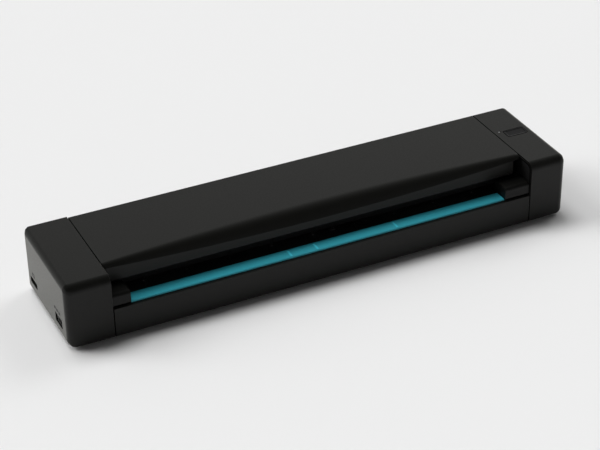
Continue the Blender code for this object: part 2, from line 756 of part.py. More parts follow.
def frame_outline():
    """A side frame fills its end cap's mouth, a gap inside the cap's walls."""
    front, rear = INNER_FRONT_Y + FIT_GAP, INNER_REAR_Y - FIT_GAP
    top = INNER_TOP_Z - FIT_GAP
    roll = FRONT_ROLL_RADIUS - WALL
    bottom = TONGUE_TOP_Z + FIT_GAP
    return rounded([(front, bottom, 0), (rear, bottom, 0), (rear, top, INNER_RADIUS), (front, top, roll)])


def bush_radius():
    return SHAFT_RADIUS + FIT_GAP + BUSH_WALL


def side_frames():
    shaft_hole = bush_radius() + FIT_GAP
    shared = [
        disc(FRONT_ROLLER_Y, ROLLER_Z, shaft_hole),
        disc(REAR_ROLLER_Y, ROLLER_Z, shaft_hole),
        disc(HINGE_Y, HINGE_Z, HINGE_PIN_RADIUS + FIT_GAP),
    ]
    slot_low = (SENSOR_Y - RIBBON_WIDTH / 2 - FIT_GAP, ribbon_z() - FIT_GAP)
    slot_high = (SENSOR_Y + RIBBON_WIDTH / 2 + FIT_GAP, ribbon_z() + RIBBON_THICKNESS + FIT_GAP)
    left_holes = [rectangle(slot_low, slot_high)]
    right_holes = [
        disc(MOTOR_Y, MOTOR_Z, tip_radius(PINION_TEETH) + FIT_GAP),
        disc(SENSOR_Y, ROLLER_Z, PIN_RADIUS + FIT_GAP),
        disc(*reduction_centre(), PIN_RADIUS + FIT_GAP),
    ]
    outline = frame_outline()
    left_low = LEFT_FRAME_X - FRAME_THICKNESS
    plate("left_side_frame", [outline, *shared, *left_holes], left_low, LEFT_FRAME_X, DARK_PLASTIC)
    plate("right_side_frame", [outline, *shared, *right_holes], RIGHT_FRAME_X, FRAME_OUTER_X, DARK_PLASTIC)


def platen_deck():
    """The sheet path's lower wall: a ledge for the guide strip, a step, windows and the fall to the exit."""
    front, rear = INNER_FRONT_Y + FIT_GAP, INNER_REAR_Y - FIT_GAP
    step = STRIP_REAR_Y + FIT_GAP
    path = (
        (front, LEDGE_Z),
        (step, LEDGE_Z),
        (step, PATH_Z),
        (rear - EXIT_RUN, PATH_Z),
        (rear, PATH_Z - EXIT_DROP),
    )
    deck = plate("platen_deck", [thickened(path, -DECK_THICKNESS)], COVER_LEFT_X, COVER_RIGHT_X, DARK_PLASTIC)
    low, high = PATH_Z - DECK_THICKNESS - OVERRUN, PATH_Z + OVERRUN
    for place, middle in (("front", FRONT_ROLLER_Y), ("rear", REAR_ROLLER_Y)):
        cut(deck, *roller_windows(place + "_deck", middle, deck_window_half(), low, high))
        cut(deck, shaft_channel(place + "_shaft_channel", middle))
    cut(deck, glass_window("deck_glass", low, high))
    window_reach = deck_window_half() + BRIDGE
    sheet_ribs(deck, "entry_rib", deck_rib(step + BRIDGE, FRONT_ROLLER_Y - window_reach))
    sheet_ribs(deck, "exit_rib", deck_rib(REAR_ROLLER_Y + window_reach, rear - EXIT_RUN))
    for side in (-1, 1):
        middle = FLAG_X + side * (FLAG_WIDTH / 2 + FIT_GAP + FLAG_LUG_THICKNESS / 2)
        lug = [
            *rounded_end(FLAG_Y, FLAG_Z, FLAG_HUB_RADIUS),
            Vector((FLAG_Y - FLAG_HUB_RADIUS, PATH_Z - DECK_THICKNESS + EMBED)),
            Vector((FLAG_Y + FLAG_HUB_RADIUS, PATH_Z - DECK_THICKNESS + EMBED)),
        ]
        half = FLAG_LUG_THICKNESS / 2
        name = "flag_lug_left" if side < 0 else "flag_lug_right"
        fuse(deck, plate(name, [lug], middle - half, middle + half, DARK_PLASTIC))
    reach = FLAG_WIDTH / 2 + FIT_GAP
    slot = block("flag_slot", (FLAG_X - reach, FLAG_Y - FLAG_SLOT_LEAD, low),
                 (FLAG_X + reach, FLAG_Y + FLAG_SLOT_RUN, high), DARK_PLASTIC)
    bore_half = FLAG_WIDTH / 2 + FIT_GAP + FLAG_LUG_THICKNESS + OVERRUN
    bore = rod("flag_bore", FLAG_X - bore_half, FLAG_X + bore_half, FLAG_PIN_RADIUS + FIT_GAP,
               (FLAG_Y, FLAG_Z), DARK_PLASTIC, "X")
    return cut(deck, slot, bore)


def deck_rib(front, rear):
    """A low rib along the sheet's way, with a ramp at each end."""
    return [
        Vector((front, PATH_Z)),
        Vector((front + RIB_LEAD, PATH_Z + RIB_RISE)),
        Vector((rear - RIB_LEAD, PATH_Z + RIB_RISE)),
        Vector((rear, PATH_Z)),
        Vector((rear, PATH_Z - EMBED)),
        Vector((front, PATH_Z - EMBED)),
    ]


def sheet_ribs(piece, name, outline):
    """The same rib again and again over the sheet's width, each in the middle of its share of it."""
    pitch = (SHEET_RIGHT_X - SHEET_LEFT_X) / RIB_COUNT
    for number in range(RIB_COUNT):
        left = SHEET_LEFT_X + (number + 0.5) * pitch - RIB_WIDTH / 2
        fuse(piece, plate(f"{name}_{number + 1}", [outline], left, left + RIB_WIDTH, DARK_PLASTIC))


def shaft_channel(name, middle):
    """The room that a drive shaft needs. Only a shaft close under the deck cuts into it."""
    radius = SHAFT_RADIUS + FIT_GAP
    return rod(name, LEFT_FRAME_X, RIGHT_FRAME_X, radius, (middle, ROLLER_Z), STEEL, "X", ROUND_STEPS)


def rounded_end(across, up, radius, steps=SMALL_ROUND_STEPS):
    """The lower half of a circle, from its right side round to its left, going clockwise."""
    angles = [-math.pi * step / (steps / 2) for step in range(steps // 2 + 1)]
    return [Vector((across + radius * math.cos(angle), up + radius * math.sin(angle))) for angle in angles]


def deck_window_half():
    """Half the width of a deck window: the roller's half chord at the deck's underside, and a clearance."""
    fall = PATH_Z - DECK_THICKNESS - ROLLER_Z
    return math.sqrt(ROLLER_RADIUS**2 - fall**2) + WINDOW_CLEARANCE


def roller_windows(name, middle, half, low, high):
    windows = []
    for side, word in ((-1, "left"), (1, "right")):
        across = SHEET_MIDDLE_X + side * ROLLER_OFFSET
        reach = ROLLER_LENGTH / 2 + WINDOW_CLEARANCE
        corner, opposite = (across - reach, middle - half, low), (across + reach, middle + half, high)
        windows.append(block(f"{name}_window_{word}", corner, opposite, DARK_PLASTIC))
    return windows


def glass_window(name, low, high):
    length, width = GLASS_LENGTH + 2 * FIT_GAP, SENSOR_WIDTH + 2 * FIT_GAP
    return sensor_bar(name + "_window", length, width, low, high, DARK_PLASTIC)


def lower_sheet_guide():
    """The blue-green strip that a sheet is laid on, with a lip over the front panel's top."""
    low = LEDGE_Z + FIT_GAP
    top = PATH_Z + GUIDE_STRIP_RISE
    over_panel = PATH_Z - PANEL_DROP + FIT_GAP
    outline = rounded([
        (STRIP_FRONT_Y, over_panel, 0),
        (INNER_FRONT_Y + FIT_GAP, over_panel, 0),
        (INNER_FRONT_Y + FIT_GAP, low, 0),
        (STRIP_REAR_Y, low, 0),
        (STRIP_REAR_Y, top, INNER_RADIUS),
        (STRIP_FRONT_Y, top, GUIDE_STRIP_RADIUS),
    ])
    return plate("lower_sheet_guide", [outline], SHEET_LEFT_X, SHEET_RIGHT_X, TEAL_PLASTIC)


def guide_blocks():
    """The two blocks that keep a sheet between them. Each stands on the deck's ledge and on the deck."""
    face = FRONT_Y + BLOCK_SETBACK
    low = LEDGE_Z + FIT_GAP
    brow = low + BLOCK_UNDERCUT_HEIGHT
    top = LIP_Z - BLOCK_TO_LIP
    rear = GUIDE_FRONT_Y - 2 * FIT_GAP
    deck = PATH_Z + FIT_GAP
    outline = rounded([
        (face + BLOCK_UNDERCUT, low, 0),
        (STRIP_REAR_Y, low, 0),
        (STRIP_REAR_Y, deck, 0),
        (rear, deck, 0),
        (rear, top, BLOCK_RADIUS),
        (face, top, BLOCK_RADIUS),
        (face, brow, INNER_RADIUS),
        (face + BLOCK_UNDERCUT, brow, 0),
    ])
    plate("left_guide_block", [outline], COVER_LEFT_X, COVER_LEFT_X + LEFT_BLOCK_WIDTH, BLACK_PLASTIC)
    plate("right_guide_block", [outline], COVER_RIGHT_X - RIGHT_BLOCK_WIDTH, COVER_RIGHT_X, BLACK_PLASTIC)


def sensors_and_glasses():
    """Each image sensor lies against the back of its glass."""
    lower_glass_low = PATH_Z - GLASS_RECESS - DECK_THICKNESS
    upper_glass_high = CEILING_Z + GLASS_RECESS + GUIDE_WALL
    glass_spans = {
        "lower": (lower_glass_low, PATH_Z - GLASS_RECESS),
        "upper": (CEILING_Z + GLASS_RECESS, upper_glass_high),
    }
    sensor_spans = {
        "lower": (sensor_bottom_z(), lower_glass_low - FIT_GAP),
        "upper": (upper_glass_high + FIT_GAP, upper_sensor_top_z()),
    }
    made = {}
    for word, (low, high) in glass_spans.items():
        made[word + "_glass"] = sensor_bar(word + "_glass", GLASS_LENGTH, SENSOR_WIDTH, low, high, GLASS)
    for word, (low, high) in sensor_spans.items():
        sensor = sensor_bar(word + "_image_sensor", SENSOR_LENGTH, SENSOR_WIDTH, low, high, DARK_PLASTIC)
        back = -1 if word == "lower" else 1
        soften(sensor, {(0, -1, back): SENSOR_EDGE_RADIUS, (0, 1, back): SENSOR_EDGE_RADIUS}, 2)
        face = high if word == "lower" else low
        slot_low, slot_high = sorted((face + back * SENSOR_SLOT_DEPTH, face - back * OVERRUN))
        slot_length = SENSOR_LENGTH - 4 * SENSOR_SLOT_WIDTH
        slot = sensor_bar(word + "_slot", slot_length, SENSOR_SLOT_WIDTH, slot_low, slot_high, DARK_PLASTIC)
        made[word + "_image_sensor"] = cut(sensor, slot)
    return made


def sensor_bar(name, length, width, low, high, material):
    """A bar along the sheet's width, centred over the sensor's line."""
    left, right = SHEET_MIDDLE_X - length / 2, SHEET_MIDDLE_X + length / 2
    front, rear = SENSOR_Y - width / 2, SENSOR_Y + width / 2
    return block(name, (left, front, low), (right, rear, high), material)


def upper_sensor_top_z():
    return INNER_TOP_Z - SENSOR_SPRING_ROOM


def bump(across):
    """1 at the middle of the cover and 0 at its ends, along a parabola."""
    share = (across - COVER_MIDDLE_X) / ((COVER_RIGHT_X - COVER_LEFT_X) / 2)
    return 1 - share**2


def cover_profile(across):
    """The cover's outer side at one place along its length, from the rear wall's foot to the lip's foot."""
    depth = SCOOP_DEPTH_END + (SCOOP_DEPTH_MIDDLE - SCOOP_DEPTH_END) * bump(across)
    drop = SCOOP_DROP_END + (SCOOP_DROP_MIDDLE - SCOOP_DROP_END) * bump(across)
    points = [(REAR_Y, TOP_Z - REAR_WALL_DROP), (REAR_Y, TOP_Z)]
    for step in range(SCOOP_STEPS + 1):
        share = step / SCOOP_STEPS
        points.append((LIP_Y + depth * (1 - share), TOP_Z - drop * share**2))
    points.append((LIP_Y, LIP_Z))
    return points


def top_cover():
    """The cover: a lofted skin whose front roll widens towards the middle, given its wall by Solidify."""
    shape = bmesh.new()
    weights = shape.edges.layers.float.new("bevel_weight_edge")
    rows = []
    left, right = COVER_LEFT_X - OVERRUN, COVER_RIGHT_X + OVERRUN
    for station in range(SCOOP_STATIONS + 1):
        across = left + (right - left) * station / SCOOP_STATIONS
        rows.append([shape.verts.new((across, y, z)) for y, z in cover_profile(across)])
    for row, following in zip(rows, rows[1:]):
        for index in range(len(row) - 1):
            shape.faces.new((row[index], row[index + 1], following[index + 1], following[index]))
        shape.edges.get((row[1], following[1]))[weights] = 1.0
    mesh = bpy.data.meshes.new("top_cover")
    shape.to_mesh(mesh)
    shape.free()
    cover = add_object("top_cover", mesh, BLACK_PLASTIC)
    skin = cover.modifiers.new("wall", "SOLIDIFY")
    skin.thickness = WALL
    skin.offset = -1
    skin.use_even_offset = True
    edge = cover.modifiers.new("rear edge", "BEVEL")
    edge.limit_method = "WEIGHT"
    edge.width = REAR_TOP_RADIUS
    edge.segments = CORNER_STEPS
    low, high = (COVER_LEFT_X, FRONT_Y, BOTTOM_Z), (COVER_RIGHT_X, REAR_Y + OVERRUN, TOP_Z + OVERRUN)
    combine(cover, block("cover_span", low, high, BLACK_PLASTIC), "INTERSECT")
    for side, word in ((-1, "left"), (1, "right")):
        end = COVER_LEFT_X if side < 0 else COVER_RIGHT_X
        outside = end + side * OVERRUN
        inside = end - side * LIP_NOTCH
        notch_low = (min(outside, inside), FRONT_Y, LIP_Z - OVERRUN)
        notch_high = (max(outside, inside), GUIDE_FRONT_Y + OVERRUN, TOP_Z - SCOOP_DROP_END - FIT_GAP)
        cut(cover, block("lip_notch_" + word, notch_low, notch_high, BLACK_PLASTIC))
        root = INNER_TOP_Z + EMBED
        outline = [
            *rounded_end(HINGE_Y, HINGE_Z, EAR_RADIUS),
            Vector((HINGE_Y - EAR_RADIUS, root)),
            Vector((HINGE_Y + EAR_RADIUS, root)),
        ]
        inner = end - side * EAR_WIDTH
        ear = plate("ear_" + word, [outline], min(end, inner), max(end, inner), BLACK_PLASTIC)
        bore_low, bore_high = min(end, inner) - OVERRUN, max(end, inner) + OVERRUN
        bore_radius = HINGE_PIN_RADIUS + FIT_GAP
        fuse(cover, ear)
        cut(cover, rod("ear_bore_" + word, bore_low, bore_high, bore_radius, (HINGE_Y, HINGE_Z), STEEL, "X"))
    return cover


def upper_guide():
    """The sheet path's upper wall in the cover: sloped at the front, windowed, and raised at the exit."""
    slope_foot = GUIDE_FRONT_Y + GUIDE_SLOPE_RUN
    exit_start = REAR_ROLLER_Y + pinch_window_half() + BRIDGE
    exit_end = exit_start + GUIDE_EXIT_RUN
    exit_z = TOP_Z - REAR_WALL_DROP
    rear = INNER_REAR_Y - FIT_GAP
    front_top = TOP_Z - SCOOP_DROP_MIDDLE - FIT_GAP - FIT_GAP
    path = (
        (GUIDE_FRONT_Y, front_top),
        (GUIDE_FRONT_Y, CEILING_Z + GUIDE_SLOPE_RISE),
        (slope_foot, CEILING_Z),
        (exit_start, CEILING_Z),
        (exit_end, exit_z),
        (rear, exit_z),
        (rear, exit_z + GUIDE_FLANGE_RISE),
    )
    guide = plate("upper_guide", [thickened(path, GUIDE_WALL)], GUIDE_LEFT_X, GUIDE_RIGHT_X, DARK_PLASTIC)
    sheet_ribs(guide, "guide_rib", guide_rib(path[1:4]))
    mid_line = beside(path, GUIDE_WALL / 2)
    wall_top = INNER_TOP_Z - FIT_GAP
    end_outline = rounded([
        *[(*point, 0) for point in mid_line[:-1]],
        (mid_line[-1].x, wall_top, REAR_TOP_RADIUS),
        (LIP_Y + SCOOP_DEPTH_END + WALL, wall_top, 0),
    ])
    for side, word in ((-1, "left"), (1, "right")):
        end = (GUIDE_LEFT_X if side < 0 else GUIDE_RIGHT_X) - side * EMBED
        inner = end - side * GUIDE_WALL
        fuse(guide, plate("guide_end_" + word, [end_outline], min(end, inner), max(end, inner), DARK_PLASTIC))
    for place, middle in (("front", FRONT_ROLLER_Y), ("rear", REAR_ROLLER_Y)):
        for side, word in ((-1, "left"), (1, "right")):
            across = SHEET_MIDDLE_X + side * (pinch_half_length() - PINCH_SHAFT_OVERHANG / 2)
            lug_low = (across - LUG_THICKNESS / 2, middle - LUG_HALF_WIDTH, CEILING_Z + EMBED)
            lug_high = (across + LUG_THICKNESS / 2, middle + LUG_HALF_WIDTH, PINCH_Z + LUG_RISE)
            fuse(guide, block(f"{place}_lug_{word}", lug_low, lug_high, DARK_PLASTIC))
            bore_low, bore_high = across - LUG_THICKNESS, across + LUG_THICKNESS
            bore_radius = PINCH_SHAFT_RADIUS + FIT_GAP
            axis = (middle, PINCH_Z)
            cut(guide, rod(f"{place}_lug_bore_{word}", bore_low, bore_high, bore_radius, axis, STEEL, "X"))
    low, high = CEILING_Z - OVERRUN, PINCH_Z + pinch_window_half()
    for place, middle in (("front", FRONT_ROLLER_Y), ("rear", REAR_ROLLER_Y)):
        cut(guide, *roller_windows(place + "_guide", middle, pinch_window_half(), low, high))
    return cut(guide, glass_window("guide_glass", low, CEILING_Z + GUIDE_WALL + OVERRUN))


def guide_rib(path):
    """A rib that grows out of the guide's slope and ends a short way behind its foot."""
    brow, foot, ceiling = [Vector(point) for point in path]
    start = brow.lerp(foot, GUIDE_RIB_START_SHARE)
    end = foot + RIB_LEAD * (ceiling - foot).normalized()
    return [start, *beside((start, foot, end), -RIB_RISE)[1:], *beside((start, foot, end), EMBED)[::-1]]


def pinch_window_half():
    return PINCH_RADIUS + FIT_GAP


def pinch_half_length():
    return ROLLER_OFFSET + ROLLER_LENGTH / 2 + PINCH_SHAFT_OVERHANG


def pinch_roller(name, middle):
    """Two rollers moulded on one shaft, turned as one piece."""
    half = pinch_half_length()
    near = ROLLER_OFFSET - ROLLER_LENGTH / 2
    far = ROLLER_OFFSET + ROLLER_LENGTH / 2
    upper = [
        (0, half),
        (PINCH_SHAFT_RADIUS - SHAFT_CHAMFER, half),
        (PINCH_SHAFT_RADIUS, half - SHAFT_CHAMFER),
        (PINCH_SHAFT_RADIUS, far),
        (PINCH_RADIUS - ROLLER_CROWN, far),
        (PINCH_RADIUS, far - ROLLER_CROWN),
        (PINCH_RADIUS, near + ROLLER_CROWN),
        (PINCH_RADIUS - ROLLER_CROWN, near),
        (PINCH_SHAFT_RADIUS, near),
    ]
    profile = upper + [(radius, -height) for radius, height in reversed(upper)]
    return turned(name, profile, (SHEET_MIDDLE_X, middle, PINCH_Z), WHITE_PLASTIC, "X")


def drive_shaft(name, middle):
    low = LEFT_FRAME_X - FRAME_THICKNESS - BUSH_FLANGE_THICKNESS - FIT_GAP - EMBED
    high = INNER_GEAR_X + GEAR_WIDTH
    half = (high - low) / 2
    profile = [
        (0, half),
        (SHAFT_RADIUS - SHAFT_CHAMFER, half),
        (SHAFT_RADIUS, half - SHAFT_CHAMFER),
        (SHAFT_RADIUS, SHAFT_CHAMFER - half),
        (SHAFT_RADIUS - SHAFT_CHAMFER, -half),
        (0, -half),
    ]
    return turned(name, profile, ((low + high) / 2, middle, ROLLER_Z), STEEL, "X")


def drive_roller(name, side, middle):
    """A rubber tyre on its drive shaft, with eased shoulders."""
    half = ROLLER_LENGTH / 2
    bore = SHAFT_RADIUS + FIT_GAP
    profile = [
        (bore, half),
        (ROLLER_RADIUS - ROLLER_CROWN, half),
        (ROLLER_RADIUS, half - ROLLER_CROWN),
        (ROLLER_RADIUS, ROLLER_CROWN - half),
        (ROLLER_RADIUS - ROLLER_CROWN, -half),
        (bore, -half),
    ]
    location = (SHEET_MIDDLE_X + side * ROLLER_OFFSET, middle, ROLLER_Z)
    return turned(name, profile, location, RUBBER, "X", closed=True)


def bush(name, side, middle):
    """A flanged bush in its frame's hole, flange outside."""
    inner = RIGHT_FRAME_X if side > 0 else LEFT_FRAME_X
    shoulder = FRAME_THICKNESS + FIT_GAP
    length = shoulder + BUSH_FLANGE_THICKNESS
    bore = SHAFT_RADIUS + FIT_GAP
    outer = bush_radius()
    outward = [(bore, 0), (bore, length), (outer + BUSH_FLANGE, length), (outer + BUSH_FLANGE, shoulder),
               (outer, shoulder), (outer, 0)]
    if side < 0:
        outward = [(radius, -height) for radius, height in reversed(outward)]
    return turned(name, outward, (inner, middle, ROLLER_Z), BRASS, "X", closed=True, steps=SMALL_ROUND_STEPS)


def hinge_pin(name, side):
    """A headed pin through a frame into the cover's ear."""
    outer = FRAME_OUTER_X if side > 0 else LEFT_FRAME_X - FRAME_THICKNESS
    ear_inner = (COVER_RIGHT_X if side > 0 else COVER_LEFT_X) - side * (EAR_WIDTH - FIT_GAP)
    length = abs(outer - ear_inner) + FIT_GAP
    head = length + BUSH_FLANGE_THICKNESS
    points = [(0, head), (HINGE_PIN_HEAD_RADIUS, head), (HINGE_PIN_HEAD_RADIUS, length),
              (HINGE_PIN_RADIUS, length), (HINGE_PIN_RADIUS, 0), (0, 0)]
    if side < 0:
        points = [(radius, -height) for radius, height in reversed(points)]
    return turned(name, points, (ear_inner, HINGE_Y, HINGE_Z), STEEL, "X", steps=SMALL_ROUND_STEPS)


def pitch_radius(teeth):
    return GEAR_MODULE * teeth / 2


def tip_radius(teeth):
    return pitch_radius(teeth) + ADDENDUM_SHARE * GEAR_MODULE


def root_radius(teeth):
    return pitch_radius(teeth) - DEDENDUM_SHARE * GEAR_MODULE


def involute(radius, base):
    """The involute function of the pressure angle at a radius, 0 inside the base circle."""
    if radius <= base:
        return 0.0
    angle = math.acos(base / radius)
    return math.tan(angle) - angle


def gear_outline(teeth, phase, centre=(0, 0)):
    """An involute gear's outline, with the middle of a tooth at the angle given by phase."""
    pitch = pitch_radius(teeth)
    base = pitch * math.cos(PRESSURE_ANGLE)
    half_tooth = math.pi / (2 * teeth) - BACKLASH_SHARE * GEAR_MODULE / (2 * pitch)
    half_tooth += involute(pitch, base)
    foot = max(base, root_radius(teeth))
    tip = tip_radius(teeth)
    flank = [(root_radius(teeth), half_tooth - involute(foot, base))]
    for step in range(1, FLANK_STEPS + 1):
        radius = foot + (tip - foot) * step / FLANK_STEPS
        flank.append((radius, half_tooth - involute(radius, base)))
    points = []
    for tooth in range(teeth):
        middle = phase + 2 * math.pi * tooth / teeth
        for radius, half in flank:
            points.append((radius, middle - half))
        for radius, half in reversed(flank):
            points.append((radius, middle + half))
    return [Vector((centre[0] + r * math.cos(angle), centre[1] + r * math.sin(angle))) for r, angle in points]


def meshing_phase(driver_teeth, driver_phase, follower_teeth, direction):
    """The follower's phase that puts a gap at the driver's tooth; direction is from driver to follower."""
    driver_turn = (direction - driver_phase) * driver_teeth / (2 * math.pi)
    return direction + math.pi - (0.5 - driver_turn) * 2 * math.pi / follower_teeth


def reduction_centre():
    """Where the reduction gear meshes with the motor pinion and the rear drive gear, above their line."""
    to_drive = pitch_radius(REDUCTION_SMALL_TEETH + DRIVE_TEETH)
    to_motor = pitch_radius(REDUCTION_LARGE_TEETH + PINION_TEETH)
    drive = Vector((REAR_ROLLER_Y, ROLLER_Z))
    line = Vector((MOTOR_Y, MOTOR_Z)) - drive
    along = (to_drive**2 - to_motor**2 + line.length**2) / (2 * line.length)
    rise = math.sqrt(to_drive**2 - along**2)
    ahead = line.normalized()
    centre = drive + ahead * along + Vector((-ahead.y, ahead.x)) * rise
    return centre.x, centre.y


def angle_to(start, end):
    return math.atan2(end[1] - start[1], end[0] - start[0])


def gears():
    """The train from the motor to both drive shafts, each gear with its origin on its own axis."""
    front = (FRONT_ROLLER_Y, ROLLER_Z)
    rear = (REAR_ROLLER_Y, ROLLER_Z)
    idler = (SENSOR_Y, ROLLER_Z)
    reduction = reduction_centre()
    motor = (MOTOR_Y, MOTOR_Z)
    inner_end = INNER_GEAR_X + GEAR_WIDTH
    outer_end = OUTER_GEAR_X + GEAR_WIDTH
    rear_phase = 0.0
    idler_phase = meshing_phase(DRIVE_TEETH, rear_phase, IDLER_TEETH, angle_to(rear, idler))
    front_phase = meshing_phase(IDLER_TEETH, idler_phase, DRIVE_TEETH, angle_to(idler, front))
    small_phase = meshing_phase(DRIVE_TEETH, rear_phase, REDUCTION_SMALL_TEETH, angle_to(rear, reduction))
    pinion_phase = meshing_phase(REDUCTION_LARGE_TEETH, 0.0, PINION_TEETH, angle_to(reduction, motor))
    shaft_bore = SHAFT_RADIUS + FIT_GAP
    pin_bore = PIN_RADIUS + FIT_GAP
    made = {}
    inner_gears = {
        "front_drive_gear": (DRIVE_TEETH, front_phase, front, shaft_bore),
        "rear_drive_gear": (DRIVE_TEETH, rear_phase, rear, shaft_bore),
        "idler_gear": (IDLER_TEETH, idler_phase, idler, pin_bore),
    }
    for name, (teeth, phase, centre, bore) in inner_gears.items():
        outlines = [gear_outline(teeth, phase, centre), disc(*centre, bore)]
        made[name] = plate(name, outlines, INNER_GEAR_X, inner_end, WHITE_PLASTIC, centre=centre)
    large = [gear_outline(REDUCTION_LARGE_TEETH, 0.0, reduction)]
    small = [gear_outline(REDUCTION_SMALL_TEETH, small_phase, reduction)]
    compound = plate("reduction_gear", large, OUTER_GEAR_X, outer_end, WHITE_PLASTIC, centre=reduction)
    fuse(compound, plate("reduction_small", small, INNER_GEAR_X, OUTER_GEAR_X + EMBED, WHITE_PLASTIC))
    bore = rod("reduction_bore", INNER_GEAR_X - OVERRUN, outer_end + OVERRUN, pin_bore, reduction, STEEL, "X")
    made["reduction_gear"] = cut(compound, bore)
    teeth = [gear_outline(PINION_TEETH, pinion_phase, motor)]
    pinion = plate("motor_pinion", teeth, OUTER_GEAR_X, outer_end, BRASS, centre=motor)
    shaft_low = RIGHT_FRAME_X - MOTOR_BORE_DEPTH
    shaft_high = BRACKET_X + BRACKET_THICKNESS
    shaft = rod("motor_shaft", shaft_low, shaft_high, MOTOR_SHAFT_RADIUS, motor, STEEL, "X")
    made["motor_pinion"] = fuse(pinion, shaft)
    return made


def gear_pins():
    low = RIGHT_FRAME_X
    high = BRACKET_X + BRACKET_THICKNESS
    rod("idler_pin", low, high, PIN_RADIUS, (SENSOR_Y, ROLLER_Z), STEEL, "X")
    rod("reduction_pin", low, high, PIN_RADIUS, reduction_centre(), STEEL, "X")


def gear_bracket():
    """A steel plate that carries the outer ends of the gear pins, on two legs beside the gears."""
    leg_y = SENSOR_Y + pitch_radius(IDLER_TEETH)
    clear = tip_radius(IDLER_TEETH) + LEG_RADIUS + LEG_CLEARANCE
    rise = math.sqrt(clear**2 - pitch_radius(IDLER_TEETH) ** 2)
    reduction = reduction_centre()
    low = (SENSOR_Y - 2 * BRACKET_CORNER_RADIUS, ROLLER_Z - rise - LEG_RADIUS - BRACKET_MARGIN)
    high = (MOTOR_Y + 2 * BRACKET_CORNER_RADIUS, reduction[1] + 2 * BRACKET_CORNER_RADIUS)
    holes = [
        disc(SENSOR_Y, ROLLER_Z, PIN_RADIUS + FIT_GAP),
        disc(*reduction, PIN_RADIUS + FIT_GAP),
        disc(MOTOR_Y, MOTOR_Z, MOTOR_SHAFT_RADIUS + FIT_GAP),
    ]
    outline = rectangle(low, high, BRACKET_CORNER_RADIUS)
    bracket = plate("gear_bracket", [outline, *holes], BRACKET_X, BRACKET_X + BRACKET_THICKNESS, STEEL)
    leg_low, leg_high = FRAME_OUTER_X + FIT_GAP, BRACKET_X + BRACKET_THICKNESS / 2
    for side, word in ((-1, "lower"), (1, "upper")):
        axis = (leg_y, ROLLER_Z + side * rise)
        fuse(bracket, rod(f"bracket_leg_{word}", leg_low, leg_high, LEG_RADIUS, axis, STEEL, "X"))
    return bracket


def motor():
    """A round motor with a blind bore where its shaft comes out, flat against the frame."""
    bore = MOTOR_SHAFT_RADIUS + FIT_GAP
    profile = [
        (0, -MOTOR_BORE_DEPTH),
        (bore, -MOTOR_BORE_DEPTH),
        (bore, 0),
        (MOTOR_RADIUS - SHAFT_CHAMFER, 0),
        (MOTOR_RADIUS, -SHAFT_CHAMFER),
        (MOTOR_RADIUS, -MOTOR_LENGTH + SHAFT_CHAMFER),
        (MOTOR_RADIUS - SHAFT_CHAMFER, -MOTOR_LENGTH),
        (0, -MOTOR_LENGTH),
    ]
    return turned("motor", profile, (RIGHT_FRAME_X - FIT_GAP, MOTOR_Y, MOTOR_Z), STEEL, "X")


def leaf_spring(name, middle_x, middle_y, low, high):
    """A bent leaf: a flat foot that presses down, and two arms that rise to the cover."""
    path = [
        (middle_x - SPRING_HALF_SPAN, high - SPRING_THICKNESS),
        (middle_x - SPRING_HALF_SPAN + SPRING_FLAT, high - SPRING_THICKNESS),
        (middle_x - SPRING_FLAT, low),
        (middle_x + SPRING_FLAT, low),
        (middle_x + SPRING_HALF_SPAN - SPRING_FLAT, high - SPRING_THICKNESS),
        (middle_x + SPRING_HALF_SPAN, high - SPRING_THICKNESS),
    ]
    leaf = [thickened(path, SPRING_THICKNESS)]
    return plate(name, leaf, middle_y - SPRING_WIDTH / 2, middle_y + SPRING_WIDTH / 2, SPRING_STEEL, "Y")


def springs():
    """Leaf springs under the cover press the pinch rollers and the upper sensor down."""
    high = INNER_TOP_Z - FIT_GAP
    pinch_low = PINCH_Z + PINCH_SHAFT_RADIUS + FIT_GAP
    sensor_low = upper_sensor_top_z() + FIT_GAP
    return [
        leaf_spring("front_pinch_spring", SHEET_MIDDLE_X, FRONT_ROLLER_Y, pinch_low, high),
        leaf_spring("rear_pinch_spring", SHEET_MIDDLE_X, REAR_ROLLER_Y, pinch_low, high),
        leaf_spring("sensor_spring_left", SHEET_MIDDLE_X - 2 * ROLLER_OFFSET, SENSOR_Y, sensor_low, high),
        leaf_spring("sensor_spring_right", SHEET_MIDDLE_X + 2 * ROLLER_OFFSET, SENSOR_Y, sensor_low, high),
    ]


def main_board():
    """The main board on the left tongue's bosses, with its chips soldered on."""
    left = LEFT_X + WALL + FIT_GAP + FIT_GAP
    right = LEFT_FRAME_X - FRAME_THICKNESS - FIT_GAP - FIT_GAP
    top = MAIN_BOARD_Z + BOARD_THICKNESS
    corner, opposite = (left, MAIN_BOARD_FRONT_Y, MAIN_BOARD_Z), (right, MAIN_BOARD_REAR_Y, top)
    board = block("main_board", corner, opposite, BOARD_GREEN)
    for number, middle in enumerate((USB_Y / 2, CARD_Y / 4), 1):
        low = (right - CHIP_SIZE - FIT_GAP, middle - CHIP_SIZE / 2, MAIN_BOARD_Z + EMBED)
        high = (right - FIT_GAP, middle + CHIP_SIZE / 2, top + CHIP_HEIGHT)
        fuse(board, block(f"chip_{number}", low, high, DARK_PLASTIC))
    return board


def socket(name, middle, width, height, length):
    """A folded metal socket shell on the board, open towards the end face."""
    mouth = LEFT_X + WALL + 2 * FIT_GAP
    low = Vector((mouth, middle - width / 2, SOCKET_Z))
    high = low + Vector((length, width, height))
    wall = Vector((SHELL_WALL, SHELL_WALL, SHELL_WALL))
    hollow_low = low + wall
    hollow_low.x = mouth - OVERRUN
    return cut(block(name, low, high, STEEL), block(name + "_mouth", hollow_low, high - wall, STEEL))


def ribbon_z():
    return MAIN_BOARD_Z + BOARD_THICKNESS + CHIP_HEIGHT + 2 * FIT_GAP


